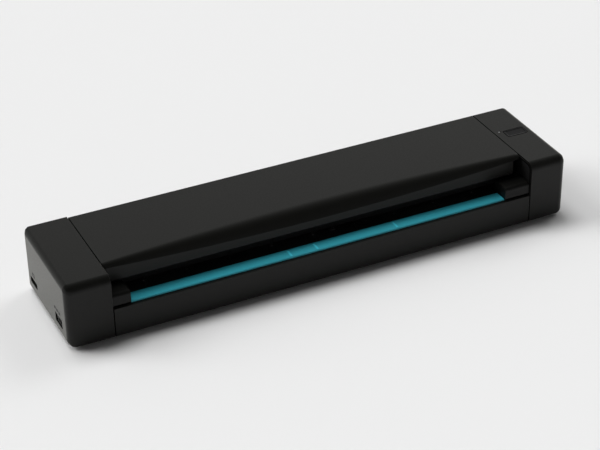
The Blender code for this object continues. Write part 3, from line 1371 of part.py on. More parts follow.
def sensor_ribbon():
    """The flat cable from the lower sensor's end, through the left frame, to the main board."""
    start = SHEET_MIDDLE_X - SENSOR_LENGTH / 2 - FIT_GAP - RIBBON_THICKNESS
    end = LEFT_FRAME_X - FRAME_THICKNESS - CHIP_SIZE
    board_top = MAIN_BOARD_Z + BOARD_THICKNESS + CHIP_HEIGHT + FIT_GAP
    path = ((end, board_top), (LEFT_FRAME_X - FRAME_THICKNESS - FIT_GAP, ribbon_z()), (start, ribbon_z()),
            (start, ribbon_z() + RIBBON_WIDTH / 2))
    half = RIBBON_WIDTH / 2
    return plate("sensor_ribbon", [thickened(path, RIBBON_THICKNESS)], SENSOR_Y - half, SENSOR_Y + half,
                 WHITE_PLASTIC, "Y")


def button_parts():
    """The scan button, its board and switch, and the light pipe beside it."""
    low, high = button_board_box()
    top = BUTTON_BOARD_Z
    plate("button_board", [rectangle(low, high)], top - BOARD_THICKNESS, top, BOARD_GREEN, "Z")
    switch_low = top + FIT_GAP
    half = SWITCH_SIZE / 2
    switch = block("tact_switch", (BUTTON_X - half, BUTTON_Y - half, switch_low),
                   (BUTTON_X + half, BUTTON_Y + half, switch_low + SWITCH_HEIGHT), DARK_PLASTIC)
    soften(switch, {(sx, sy, 0): SOCKET_RADIUS for sx in (-1, 1) for sy in (-1, 1)}, 1)
    flange_top = INNER_TOP_Z - FIT_GAP
    flange_low = flange_top - BUTTON_FLANGE_THICKNESS
    centre = (BUTTON_X, BUTTON_Y)
    button = plate("scan_button", [button_outline(0)], flange_top - EMBED, TOP_Z, BLACK_PLASTIC, "Z", centre)
    rim = [button_outline(BUTTON_FLANGE)]
    fuse(button, plate("button_flange", rim, flange_low, flange_top, BLACK_PLASTIC, "Z"))
    stem_low = switch_low + SWITCH_HEIGHT + BUTTON_TRAVEL + BUTTON_SLACK
    fuse(button, rod("button_stem", stem_low, flange_low + EMBED, BUTTON_STEM_RADIUS, centre, BLACK_PLASTIC))
    pipe_low = top + FIT_GAP
    collar_top = INNER_TOP_Z - FIT_GAP
    profile = [
        (0, TOP_Z - pipe_low),
        (LIGHT_RADIUS, TOP_Z - pipe_low),
        (LIGHT_RADIUS, collar_top - pipe_low),
        (LIGHT_FLANGE_RADIUS, collar_top - pipe_low),
        (LIGHT_FLANGE_RADIUS, collar_top - LIGHT_FLANGE_THICKNESS - pipe_low),
        (LIGHT_RADIUS, collar_top - LIGHT_FLANGE_THICKNESS - pipe_low),
        (LIGHT_RADIUS, 0),
        (0, 0),
    ]
    turned("light_pipe", profile, (LIGHT_X, LIGHT_Y, pipe_low), LIGHT_PIPE, steps=SMALL_ROUND_STEPS)


def paper_flag():
    """The lever that a sheet pushes over: a hub on a pin, a finger above the deck and a tail below."""
    tip = PATH_Z + FLAG_TIP_RISE
    half = FLAG_ARM_WIDTH / 2
    centre = (FLAG_Y, FLAG_Z)
    arm = rectangle((FLAG_Y - half, FLAG_Z - FLAG_TAIL_LENGTH), (FLAG_Y + half, tip), INNER_RADIUS)
    low, high = FLAG_X - FLAG_WIDTH / 2, FLAG_X + FLAG_WIDTH / 2
    flag = plate("paper_flag", [arm], low, high, DARK_PLASTIC, centre=centre)
    fuse(flag, rod("flag_hub", low, high, FLAG_HUB_RADIUS, centre, DARK_PLASTIC, "X"))
    bore_radius = FLAG_PIN_RADIUS + FIT_GAP
    cut(flag, rod("flag_hub_bore", low - OVERRUN, high + OVERRUN, bore_radius, centre, STEEL, "X"))
    pin_half = FLAG_WIDTH / 2 + FIT_GAP + FLAG_LUG_THICKNESS
    rod("flag_pin", FLAG_X - pin_half, FLAG_X + pin_half, FLAG_PIN_RADIUS, centre, STEEL, "X")
    return flag


def build():
    left_end_cap()
    right_end_cap()
    base_tray()
    side_frames()
    platen_deck()
    lower_sheet_guide()
    guide_blocks()
    feet()
    cap_screws()
    motor()
    gear_pins()
    gear_bracket()
    main_board()
    socket("usb_socket", USB_Y, USB_SHELL_WIDTH, USB_SHELL_HEIGHT, USB_SHELL_LENGTH)
    socket("card_socket", CARD_Y, CARD_SHELL_WIDTH, CARD_SHELL_HEIGHT, CARD_SHELL_LENGTH)
    sensor_ribbon()
    button_parts()
    paper_flag()
    for side, word in ((-1, "left"), (1, "right")):
        hinge_pin(word + "_hinge_pin", side)
        bush("front_bush_" + word, side, FRONT_ROLLER_Y)
        bush("rear_bush_" + word, side, REAR_ROLLER_Y)

    optics = sensors_and_glasses()
    train = gears()
    cover_hinge = axis_empty("cover_hinge", (COVER_MIDDLE_X, HINGE_Y, HINGE_Z))
    carry(cover_hinge, top_cover(), upper_guide(), *springs())
    carry(cover_hinge, optics["upper_glass"], optics["upper_image_sensor"])
    for place, middle in (("front", FRONT_ROLLER_Y), ("rear", REAR_ROLLER_Y)):
        carry(cover_hinge, pinch_roller(place + "_pinch_roller", middle))
        drive_axis = axis_empty(place + "_drive_axis", (SHEET_MIDDLE_X, middle, ROLLER_Z))
        carry(drive_axis, drive_shaft(place + "_drive_shaft", middle), train[place + "_drive_gear"])
        for side, word in ((-1, "left"), (1, "right")):
            carry(drive_axis, drive_roller(f"{place}_drive_roller_{word}", side, middle))


build()
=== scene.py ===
"""Looks for the portable sheet-fed scanner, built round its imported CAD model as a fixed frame.

Every piece is in metres and in the CAD's own place. +X runs to the end with the button, and -Y is the front,
where a sheet enters. The file is laid out as an add-on, and is run as a script.
"""

import math

import bpy
from mathutils import Matrix, Vector


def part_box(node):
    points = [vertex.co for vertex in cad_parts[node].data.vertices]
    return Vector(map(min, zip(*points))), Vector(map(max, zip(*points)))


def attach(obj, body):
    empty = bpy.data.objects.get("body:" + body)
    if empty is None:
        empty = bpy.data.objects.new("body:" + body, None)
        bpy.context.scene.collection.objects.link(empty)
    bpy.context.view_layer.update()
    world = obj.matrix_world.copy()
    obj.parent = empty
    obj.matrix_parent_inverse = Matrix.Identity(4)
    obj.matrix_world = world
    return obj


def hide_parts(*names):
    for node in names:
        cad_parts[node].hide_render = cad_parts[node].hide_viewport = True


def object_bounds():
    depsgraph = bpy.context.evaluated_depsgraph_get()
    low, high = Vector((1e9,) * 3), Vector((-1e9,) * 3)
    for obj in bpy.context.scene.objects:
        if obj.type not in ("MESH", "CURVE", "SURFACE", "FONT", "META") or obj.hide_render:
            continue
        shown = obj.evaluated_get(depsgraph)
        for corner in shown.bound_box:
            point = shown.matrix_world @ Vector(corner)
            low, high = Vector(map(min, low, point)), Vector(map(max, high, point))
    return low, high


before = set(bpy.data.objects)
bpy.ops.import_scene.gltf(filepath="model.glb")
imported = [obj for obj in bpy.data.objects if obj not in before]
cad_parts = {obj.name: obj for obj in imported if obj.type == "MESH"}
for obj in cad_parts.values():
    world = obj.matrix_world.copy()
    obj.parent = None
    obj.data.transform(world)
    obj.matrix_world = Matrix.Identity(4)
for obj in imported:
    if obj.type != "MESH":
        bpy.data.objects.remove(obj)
CAD_BOX = [list(corner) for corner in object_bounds()]

bl_info = {
    "name": "Sheet-fed scanner",
    "version": (1, 0, 0),
    "blender": (4, 5, 0),
    "location": "3D View > Sidebar > Scanner",
    "description": "Builds a portable sheet-fed scanner piece by piece round its CAD frame",
    "category": "Object",
}

MM = 0.001

# Tolerance of a test for a place, how far a cutting tool runs past, how far joined solids overlap, the play between
# fitted pieces, and the easing of the smallest pieces
HAIR = 0.01 * MM
OVERRUN = 1.0 * MM
EMBED = 0.5 * MM
FIT_GAP = 0.3 * MM
FINE_EASING = 0.05 * MM

# Edges over these angles are shaded as creases and are eased in a finished shape
CREASE_ANGLE = math.radians(30)
SOFTEN_ANGLE = math.radians(50)

# The outer mouldings. The left cap's rear face stands proud by a step, and its top edge is crisp.
WALL = 1.8 * MM
SIDE_TOP_RADIUS = 3.0 * MM
FRONT_ROLL_RADIUS = 4.8 * MM
FRONT_CORNER_RADIUS = 4.0 * MM
REAR_CORNER_RADIUS = 2.0 * MM
REAR_TOP_RADIUS = 1.2 * MM
BOTTOM_RADIUS = 1.5 * MM
END_BOTTOM_RADIUS = 4.0 * MM
INNER_RADIUS = 0.4 * MM
SHARP_RADIUS = 0.4 * MM
REAR_STEP = 0.5 * MM
ROLL_SEGMENTS = 12

# The seams. Faces beside a seam that look into it, by the slope of their normal, get a near-black painted shade for
# the shadow in the gap, and each cap has a rib that stands into the gap.
SEAM_SHADE_BAND = 0.5 * MM
SEAM_SHADE_SLOPE = 0.75
RIB_INSET = 0.8 * MM
RIB_REACH = 0.33 * MM

# The cover. Its front roll has one depth and drop at the ends and another in the middle, and falls more and more
# steeply towards the lip. The lip's notches are given for the left and the right end.
LIP_SETBACK = 12.0 * MM
LIP_DROP = 10.3 * MM
REAR_WALL_DROP = 12.7 * MM
SCOOP_DEPTHS = (3.4 * MM, 9.7 * MM)
SCOOP_DROPS = (1.9 * MM, 6.1 * MM)
SCOOP_POWER = 2.7
SCOOP_STEPS = 20
LIP_NOTCHES = (1.2 * MM, 4.1 * MM)
COVER_STATIONS = 90
EAR_RADIUS = 3.2 * MM
EAR_WIDTH = 3.0 * MM
EAR_OVERLAP = 0.4 * MM
HINGE_BORE_RADIUS = 1.55 * MM

# The sheet guide: the strip's lip and its raised ridges, whose lighter colour is a painted highlight, and the
# blocks beside it
STRIP_SETBACK = 0.35 * MM
STRIP_LIP = 0.9 * MM
STRIP_LIP_RUN = 0.7 * MM
STRIP_RADIUS = 0.8 * MM
STRIP_RIDGES = (-21.0 * MM, -5.6 * MM, 42.4 * MM)
RIDGE_HALF_WIDTH = 0.6 * MM
RIDGE_RISE = 0.12 * MM
RIDGE_ROOT = 0.3 * MM
RIDGE_ENDS = (0.9 * MM, 1.4 * MM)
RIDGE_EASING = 0.08 * MM
BLOCK_RADIUS = 1.8 * MM
BLOCK_UNDERCUT = (1.8 * MM, 1.4 * MM)
BLOCK_STEP_Z = 19.3 * MM
BLOCK_EASING = 0.15 * MM

# The base's hidden tongues, posts and sensor cradles, as in the CAD
TONGUE_LAP = 10.0 * MM
BOSS_HEIGHT = 1.6 * MM
POST_RADIUS = 2.5 * MM
POST_X = 92.0 * MM
FRAME_POSTS = ((-26.0 * MM, 15.7 * MM), (24.0 * MM, 17.1 * MM))
CRADLE_X = 78.0 * MM
CRADLE_HALF_WIDTH = 1.0 * MM
CRADLE_RISE = 3.0 * MM
POST_EASING = 0.3 * MM

# Feet and screws
CORNERS = ("front_left", "front_right", "rear_left", "rear_right")
GROOVE_PITCH = 2.4 * MM
GROOVE_HALF_WIDTH = 0.3 * MM
GROOVE_DEPTH = 0.3 * MM
GROOVE_RADIUS = 0.2 * MM
SOLE_EASING = 0.3 * MM
HEAD_HEIGHT = 0.6 * MM
HEAD_EASING = 0.2 * MM
TIP_RADIUS = 0.5 * MM
THREAD_RADIUS = 0.9 * MM
CORE_RADIUS = 0.7 * MM
THREAD_PITCH = 0.6 * MM
RECESS_REACH = 1.1 * MM
RECESS_HALF_WIDTH = 0.25 * MM
RECESS_DEPTH = 0.4 * MM
SCREW_HOLE_RADIUS = THREAD_RADIUS + FIT_GAP

# Rollers. An edge's points run from the end inwards, each by how far it lies under the roller's radius and in from
# its end, in millimetres. A tyre has a fine groove two millimetres from each end, as the grinding wheel leaves it.
TYRE_BORE = 2.3 * MM
TYRE_EDGE = ((0.6, 0.0), (0.3, 0.12), (0.08, 0.4), (0.0, 0.9),
             (0.0, 2.0), (0.15, 2.1), (0.15, 2.3), (0.0, 2.4))
PINCH_EDGE = ((0.9, 0.0), (0.3, 0.15), (0.0, 0.5))
PINCH_SHAFT = 1.5 * MM
PINCH_EASING = 0.3 * MM

# The lens row and the light bar in the slot of a sensor's face, with the depths of their undersides and tops and
# their places from front to rear, and the main board's chips, which are a little larger than the CAD's
SLOT_INSET = 6.3 * MM
SLOT_DEPTHS = (1.6 * MM, 0.25 * MM)
LENS_ROW = (-0.2 * MM, 0.8 * MM)
LIGHT_BAR = (-1.4 * MM, -0.35 * MM)
ROD_RADIUS = 0.3 * MM
CHIPS_Y = (-9.25 * MM, 5.05 * MM)
CHIP_SIDE = 7.1 * MM
CHIP_HEIGHT = 1.0 * MM
CHIP_INSET = 0.25 * MM
CHIP_RISE = 0.05 * MM
CHIP_EASING = 0.1 * MM

# The left face's openings: the socket behind each, its width and height, and how far it lies behind and over the
# socket's middle
PORTS = (("usb_socket", 10.6 * MM, 5.2 * MM, 0.0, 0.3 * MM),
         ("card_socket", 10.6 * MM, 3.6 * MM, 0.8 * MM, 0.2 * MM))
PORT_RADIUS = 0.6 * MM
SHELL_WALL = 0.5 * MM
SHELL_BEND = 0.3 * MM
SHELL_EASING = 0.06 * MM
USB_RADIUS = 0.9 * MM
USB_REACH = 1.7 * MM
CARD_RADIUS = 0.7 * MM

# What lies in the sockets: its start behind the mouth, its end before the back, its half width, and the heights of
# its underside and top over the USB socket's middle or the card socket's roof
USB_TONGUE = (1.2 * MM, -0.2 * MM, 2.1 * MM, -0.1 * MM, 0.7 * MM)
USB_TONGUE_EASING = 0.12 * MM
USB_CONTACTS = (1.5 * MM, 0.0, 1.9 * MM, -0.2 * MM, 0.0)
CARD_CONTACTS = (5.0 * MM, 1.5 * MM, 4.6 * MM, -0.3 * MM, 0.1 * MM)

# The printed marks over the openings: half the width and height, and the corners' radius
CABLE_MARK = ((1.0 * MM, 0.8 * MM), 0.3 * MM)
CARD_MARK = ((1.8 * MM, 1.2 * MM), 0.4 * MM)
CARD_MARK_ROOM = ((1.2 * MM, 0.6 * MM), 0.15 * MM)
MARK_DEPTH = 0.1 * MM
MARK_RISE = 0.04 * MM
CABLE_MARKS_Y = (-20.2 * MM, -16.9 * MM, -13.6 * MM)
CABLE_MARK_Z = 16.0 * MM
CARD_MARK_Z = 14.8 * MM

# The key and the indicator in the right cap's top. The key's flange is as thick as it stands out.
KEY_GAP = 0.4 * MM
KEY_RADIUS = 1.2 * MM
KEY_FLANGE = 0.8 * MM
KEY_RIM = 0.5 * MM
KEY_SLOPE = 0.6 * MM
KEY_EASING = 0.12 * MM
FLANGE_RADIUS = 2.0 * MM
STEM_RADIUS = 1.5 * MM
BOARD_POST_RADIUS = 1.4 * MM
LENS_RADIUS = 0.5 * MM
COLLAR_RADIUS = 0.9 * MM
COLLAR_HEIGHT = 0.6 * MM

# The camera, fitted to the photograph's edges. Its shift is in pixels of a picture this wide.
EYE = Vector((-358.10, -755.54, 538.19)) * MM
CAMERA_BACK = Vector((-0.36209421, -0.76698494, 0.52973756))
CAMERA_ROLL = math.radians(-0.90)
CAMERA_LENS = 108.2
CAMERA_SHIFT = (-0.7, 0.2)
PICTURE_WIDTH = 600
SENSOR = 36.0

TURNS = {"X": (0, math.pi / 2, 0), "Y": (math.pi / 2, 0, 0), "Z": (0, 0, 0)}


def linear(code):
    """An sRGB hex colour as linear red, green and blue."""
    values = [int(code[start:start + 2], 16) / 255 for start in (1, 3, 5)]
    return tuple(v / 12.92 if v <= 0.04045 else ((v + 0.055) / 1.055) ** 2.4 for v in values)


class ScannerSizes(bpy.types.PropertyGroup):
    """The sizes that a user would change."""

    seam_easing: bpy.props.FloatProperty(
        name="Seam easing", description="Rounding of the mouldings' edges along the seams",
        default=0.15 * MM, min=0.05 * MM, max=0.6 * MM, unit="LENGTH")
    seam_relief: bpy.props.FloatProperty(
        name="Seam relief", description="How far the mouldings' ends stand back, which widens the seams",
        default=0.17 * MM, min=0.0, max=0.4 * MM, unit="LENGTH")
    grain: bpy.props.FloatProperty(
        name="Mould grain", description="Width of one grain of the spark-eroded texture on the black mouldings",
        default=0.45 * MM, min=0.1 * MM, max=2.0 * MM, unit="LENGTH")
    key_dish: bpy.props.FloatProperty(
        name="Key dish", description="How far the middle of the scan key lies below its rim",
        default=0.2 * MM, min=0.0, max=0.4 * MM, unit="LENGTH")
    floor_side: bpy.props.FloatProperty(
        name="Floor", description="Side of the square floor under the scanner",
        default=6.0, min=1.0, max=20.0, unit="LENGTH")


class ScannerColours(bpy.types.PropertyGroup):
    """The colours that a user would change."""

    body: bpy.props.FloatVectorProperty(
        name="Body", description="Black moulded shell", subtype="COLOR", size=3, default=linear("#0f0f0d"))
    inside: bpy.props.FloatVectorProperty(
        name="Sheet path", description="Satin mouldings inside the sheet path", subtype="COLOR", size=3,
        default=linear("#171717"))
    strip: bpy.props.FloatVectorProperty(
        name="Guide strip", description="Blue-green strip that a sheet is laid on", subtype="COLOR", size=3,
        default=linear("#3394a3"))
    floor: bpy.props.FloatVectorProperty(
        name="Floor", description="Pale floor under the scanner", subtype="COLOR", size=3,
        default=linear("#e9e9e9"))


# Modelling


def select_only(*objects):
    if bpy.context.mode != "OBJECT":
        bpy.ops.object.mode_set(mode="OBJECT")
    bpy.ops.object.select_all(action="DESELECT")
    for obj in objects:
        obj.select_set(True)
        bpy.context.view_layer.objects.active = obj


def take(name):
    """Names the primitive that was just added, and puts its place into its mesh."""
    bpy.ops.object.transform_apply(location=True, rotation=True, scale=True)
    made = bpy.context.object
    made.name = name
    made.data.name = name
    return made


def box(name, low, high):
    select_only()
    low, high = Vector(low), Vector(high)
    bpy.ops.mesh.primitive_cube_add(size=1, location=(low + high) / 2, scale=high - low)
    return take(name)


def rod(name, low, high, radius, across, axis="Z", sides=48):
    """A round bar from low to high along an axis, at the two other coordinates."""
    select_only()
    middle = (low + high) / 2
    places = {"X": (middle, *across), "Y": (across[0], middle, across[1]), "Z": (*across, middle)}
    bpy.ops.mesh.primitive_cylinder_add(
        vertices=sides, radius=radius, depth=high - low, location=places[axis], rotation=TURNS[axis])
    return take(name)


def pick(piece, wanted, parts="edges"):
    """Selects the edges or faces whose points all pass a test, and goes into edit mode."""
    select_only(piece)
    mesh = piece.data
    bpy.context.tool_settings.mesh_select_mode = (False, parts == "edges", parts == "polygons")
    for group in (mesh.vertices, mesh.edges, mesh.polygons):
        group.foreach_set("select", [False] * len(group))
    for part in getattr(mesh, parts):
        points = [mesh.vertices[index].co for index in part.vertices]
        part.select = wanted(points)
    bpy.ops.object.mode_set(mode="EDIT")


def leave_edit():
    bpy.ops.object.mode_set(mode="OBJECT")


def ease(piece, wanted, width, segments=3):
    """Rounds the edges that pass a test."""
    pick(piece, wanted)
    bpy.ops.mesh.bevel(offset=width, segments=segments, affect="EDGES")
    leave_edit()
    return piece


def along(axis):
    """A test for edges that run along one axis."""
    index = "XYZ".index(axis)
    return lambda points: abs(points[0][index] - points[1][index]) > HAIR


def flat_at(axis, value):
    """A test for parts that lie in a plane across one axis."""
    index = "XYZ".index(axis)
    return lambda points: all(abs(point[index] - value) < HAIR for point in points)


def both(*tests):
    """A test that holds where all of the given ones do."""
    return lambda points: all(test(points) for test in tests)


def bar(name, low, high, radius, axis="Z", segments=6):
    """A box whose edges along one axis are round."""
    return ease(box(name, low, high), along(axis), radius, segments)


def change(piece, kind, **settings):
    """Adds a modifier, sets it and applies it."""
    select_only(piece)
    bpy.ops.object.modifier_add(type=kind)
    modifier = piece.modifiers[-1]
    for setting, value in settings.items():
        setattr(modifier, setting, value)
    bpy.ops.object.modifier_apply(modifier=modifier.name)
    return piece


def combine(piece, operation, others):
    for other in others:
        change(piece, "BOOLEAN", operation=operation, object=other, solver="MANIFOLD")
        bpy.data.objects.remove(other)
    return piece


def cut(piece, *tools):
    return combine(piece, "DIFFERENCE", tools)


def join_solids(piece, *others):
    return combine(piece, "UNION", others)


def soften(piece, width):
    """Eases every crisp edge of a finished shape."""
    return change(piece, "BEVEL", limit_method="ANGLE", angle_limit=SOFTEN_ANGLE, width=width, segments=2)


def sign_of(value):
    return 0 if abs(value) < HAIR else int(math.copysign(1, value))


def round_box(piece, radii, segments=ROLL_SEGMENTS):
    """Rounds a box's edges, each named by the signs of its place along X, Y and Z from the box's middle."""
    mesh = piece.data
    middle = sum((vertex.co for vertex in mesh.vertices), Vector()) / len(mesh.vertices)
    widest = max(radii.values())
    weights = mesh.attributes.new("bevel_weight_edge", "FLOAT", "EDGE")
    for edge in mesh.edges:
        centre = (mesh.vertices[edge.vertices[0]].co + mesh.vertices[edge.vertices[1]].co) / 2 - middle
        weights.data[edge.index].value = radii.get(tuple(map(sign_of, centre)), 0.0) / widest
    return change(piece, "BEVEL", limit_method="WEIGHT", width=widest, segments=segments)


def turned(name, profile, place, axis="X", closed=False, steps=64):
    """A turned piece: an outline of (radius, distance along the axis) points, spun round the axis."""
    select_only()
    bpy.ops.mesh.primitive_circle_add(vertices=len(profile), fill_type="NOTHING")
    piece = take(name)
    last = len(profile) - 1
    for vertex, (radius, distance) in zip(piece.data.vertices, profile):
        vertex.co = (distance, 0, radius) if axis == "X" else (radius, 0, distance)
    if not closed:
        ends = {0, last}
        select_only(piece)
        bpy.context.tool_settings.mesh_select_mode = (False, True, False)
        piece.data.vertices.foreach_set("select", [False] * len(profile))
        for edge in piece.data.edges:
            edge.select = set(edge.vertices) == ends
        bpy.ops.object.mode_set(mode="EDIT")
        bpy.ops.mesh.delete(type="EDGE")
        leave_edit()
    select_only(piece)
    bpy.ops.object.mode_set(mode="EDIT")
    bpy.ops.mesh.select_all(action="SELECT")
    bpy.ops.mesh.spin(steps=steps, angle=2 * math.pi, center=(0, 0, 0),
                      axis=(1, 0, 0) if axis == "X" else (0, 0, 1), use_auto_merge=True)
    bpy.ops.mesh.select_all(action="SELECT")
    bpy.ops.mesh.remove_doubles(threshold=HAIR / 10)
    bpy.ops.mesh.normals_make_consistent(inside=False)
    leave_edit()
    piece.location = place
    select_only(piece)
    bpy.ops.object.transform_apply(location=True, rotation=False, scale=False)
    return piece


def copy_of(piece, name, shift):
    """A copy with its own mesh, moved along."""
    select_only(piece)
    bpy.ops.object.duplicate(linked=False)
    bpy.context.object.location = shift
    return take(name)


def hand_over(piece, body, slot, finish, *nodes):
    """Shades a finished piece, gives it its finish and its body, and hides the CAD nodes that it stands for."""
    select_only(piece)
    bpy.ops.object.shade_smooth_by_angle(angle=CREASE_ANGLE)
    change(piece, "WEIGHTED_NORMAL", keep_sharp=True)
    piece.data.materials.clear()
    piece.data.materials.append(FINISHES[finish])
    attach(piece, body)
    if nodes:
        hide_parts(*nodes)
    return piece


def paint_seam_shade(piece, *seams):
    """Paints shade on the faces that look into a seam: a near-black, dull material stands in for the shadow in the
    gap.
    """
    piece.data.materials.append(FINISHES["seam"])
    for face in piece.data.polygons:
        near = min(abs(face.center.x - seam) for seam in seams)
        if near < SEAM_SHADE_BAND and abs(face.normal.x) > SEAM_SHADE_SLOPE:
            face.material_index = 1


# Finishes


def add_node(material, kind, sockets=None, **options):
    """Adds a node with its options set, and each socket given a value or another node's output."""
    tree = material.node_tree
    node = tree.nodes.new(kind)
    for option, value in options.items():
        setattr(node, option, value)
    for socket, source in (sockets or {}).items():
        if isinstance(source, bpy.types.NodeSocket):
            tree.links.new(source, node.inputs[socket])
        else:
            node.inputs[socket].default_value = source
    return node


def start_material(name, **sockets):
    """A material with its shader's plain values set."""
    material = bpy.data.materials.new(name)
    material.use_nodes = True
    shader = material.node_tree.nodes["Principled BSDF"]
    for socket, value in sockets.items():
        shader.inputs[socket.replace("_", " ")].default_value = value
    return material, shader


def speckle(material, width, stretch=(1, 1, 1), detail=2.0):
    """A noise pattern whose spots are about as wide as asked, longer along an axis with a stretch over 1."""
    place = add_node(material, "ShaderNodeTexCoord").outputs["Object"]
    shares = tuple(1 / share for share in stretch)
    turned_place = add_node(material, "ShaderNodeMapping", {"Vector": place, "Scale": shares}).outputs["Vector"]
    noise = add_node(material, "ShaderNodeTexNoise",
                     {"Vector": turned_place, "Scale": 1 / width, "Detail": detail, "Roughness": 0.55})
    return noise.outputs["Fac"]


def between(material, share, low, high):
    """A number that follows a pattern from low to high."""
    sockets = {"Value": share, "From Min": 0.3, "From Max": 0.7, "To Min": low, "To Max": high}
    return add_node(material, "ShaderNodeMapRange", sockets).outputs["Result"]


def tinted(material, share, first, second):
    """A colour that follows a pattern from the first to the second."""
    sockets = {"Fac": share, "Color1": (*first, 1.0), "Color2": (*second, 1.0)}
    return add_node(material, "ShaderNodeMixRGB", sockets).outputs["Color"]


def shaded(colour, factor):
    return tuple(min(channel * factor, 1.0) for channel in colour)


def link_finish(material, shader, colour, roughness, height, depth):
    """Joins a finish's colour, roughness and relief to its shader. The depth is the relief's real height."""
    tree = material.node_tree
    tree.links.new(colour, shader.inputs["Base Color"])
    tree.links.new(roughness, shader.inputs["Roughness"])
    relief = add_node(material, "ShaderNodeBump", {"Height": height, "Distance": depth, "Strength": 1.0})
    tree.links.new(relief.outputs["Normal"], shader.inputs["Normal"])
    return material


def textured_abs(name, colour, grain):
    """ABS moulded in a spark-eroded tool: a fine matte grain that breaks up every highlight.

    The real grain is about 0.1 mm wide, too fine to show, so it is drawn a few times coarser.
    """
    material, shader = start_material(
        name, IOR=1.5, Specular_IOR_Level=0.22,
        Sheen_Weight=0.55, Sheen_Roughness=0.3, Sheen_Tint=(1.0, 1.0, 0.93, 1.0))
    drift = speckle(material, 28 * MM)
    return link_finish(
        material, shader, tinted(material, drift, shaded(colour, 0.92), shaded(colour, 1.08)),
        between(material, speckle(material, 2 * grain), 0.4, 0.5), speckle(material, grain, detail=3.0), 0.012 * MM)


def satin_abs(name, colour, roughness, level=0.3):
    """ABS moulded in a stoned tool: smoother, with faint flow lines along the moulding."""
    material, shader = start_material(name, IOR=1.53, Specular_IOR_Level=level)
    flow = speckle(material, 1.6 * MM, stretch=(14, 1, 1))
    drift = speckle(material, 18 * MM, stretch=(3, 1, 1))
    return link_finish(
        material, shader, tinted(material, drift, shaded(colour, 0.9), shaded(colour, 1.1)),
        between(material, flow, roughness - 0.05, roughness + 0.05), flow, 0.006 * MM)


def acetal(name, code):
    """Moulded acetal, waxy and faintly translucent, for rollers and gears."""
    material, shader = start_material(name, IOR=1.48, Subsurface_Weight=0.15, Subsurface_Scale=0.6 * MM)
    colour = linear(code)
    cloud = speckle(material, 3 * MM)
    return link_finish(
        material, shader, tinted(material, cloud, shaded(colour, 0.95), colour),
        between(material, cloud, 0.34, 0.44), speckle(material, 0.5 * MM), 0.004 * MM)


def ground_rubber(name, code):
    """EPDM rubber ground to size: dull, with fine lines round the roller left by the wheel.

    The real lines are about 0.05 mm apart and are drawn at 0.3 mm, so that they show.
    """
    material, shader = start_material(name, IOR=1.5, Specular_IOR_Level=0.25)
    colour = linear(code)
    lines = speckle(material, 0.3 * MM, stretch=(1, 12, 12), detail=1.0)
    dust = speckle(material, 1.5 * MM, detail=4.0)
    return link_finish(
        material, shader, tinted(material, dust, shaded(colour, 0.85), shaded(colour, 1.25)),
        between(material, dust, 0.78, 0.92), lines, 0.02 * MM)


def worked_metal(name, code, roughness, stretch, width=0.4, depth=0.003):
    """A bare metal with the marks of how it was drawn, rolled, turned or stamped, longer along one axis."""
    material, shader = start_material(name, Metallic=1.0)
    colour = linear(code)
    marks = speckle(material, width * MM, stretch=stretch, detail=3.0)
    haze = speckle(material, 5 * MM)
    return link_finish(
        material, shader, tinted(material, haze, shaded(colour, 0.88), colour),
        between(material, marks, roughness - 0.08, roughness + 0.08), marks, depth * MM)


def contact_glass(name):
    """Soda-lime glass, polished and clear, with the faintest haze from wiping."""
    material, shader = start_material(name, IOR=1.52, Transmission_Weight=1.0)
    wipe = speckle(material, 4 * MM, stretch=(8, 1, 1))
    return link_finish(
        material, shader, tinted(material, wipe, linear("#eef7f3"), linear("#f6fbf9")),
        between(material, wipe, 0.0, 0.04), wipe, 0.0002 * MM)


def clear_acrylic(name, code):
    """Moulded acrylic for the light pipe and the light bars: clear, a little milky inside."""
    material, shader = start_material(name, IOR=1.49, Transmission_Weight=0.55)
    colour = linear(code)
    cloud = speckle(material, 0.8 * MM)
    return link_finish(
        material, shader, tinted(material, cloud, shaded(colour, 0.9), colour),
        between(material, cloud, 0.15, 0.25), cloud, 0.002 * MM)


def circuit_board(name, code):
    """Glass-epoxy board under green solder mask: copper tracks show as lighter lines in steps of 1.2 mm."""
    material, shader = start_material(name, IOR=1.5)
    colour = linear(code)
    place = add_node(material, "ShaderNodeTexCoord").outputs["Object"]
    tracks = add_node(material, "ShaderNodeTexBrick", {
        "Vector": place, "Scale": 1 / (6 * MM), "Mortar Size": 0.06, "Mortar Smooth": 0.1,
        "Brick Width": 0.8, "Row Height": 0.2}).outputs["Fac"]
    return link_finish(
        material, shader, tinted(material, tracks, colour, shaded(colour, 1.9)),
        between(material, speckle(material, 2 * MM), 0.3, 0.4), tracks, 0.03 * MM)


def flat_cable(name, code):
    """Polyester flat cable: tinned conductors 1 mm apart show through as grey stripes."""
    material, shader = start_material(name, IOR=1.57)
    colour = linear(code)
    place = add_node(material, "ShaderNodeTexCoord").outputs["Object"]
    stripes = add_node(material, "ShaderNodeTexWave", {"Vector": place, "Scale": math.pi / (10 * MM)},
                       bands_direction="Y").outputs["Fac"]
    return link_finish(
        material, shader, tinted(material, stripes, colour, shaded(colour, 0.5)),
        between(material, speckle(material, 2 * MM), 0.35, 0.45), stripes, 0.02 * MM)


def epoxy(name, code):
    """Filled epoxy of chip packages, dull from its transfer mould."""
    return textured_abs(name, linear(code), 0.3 * MM)


def ink(name, code):
    """Pad-printed ink, thin and dull."""
    return satin_abs(name, linear(code), 0.6, 0.2)


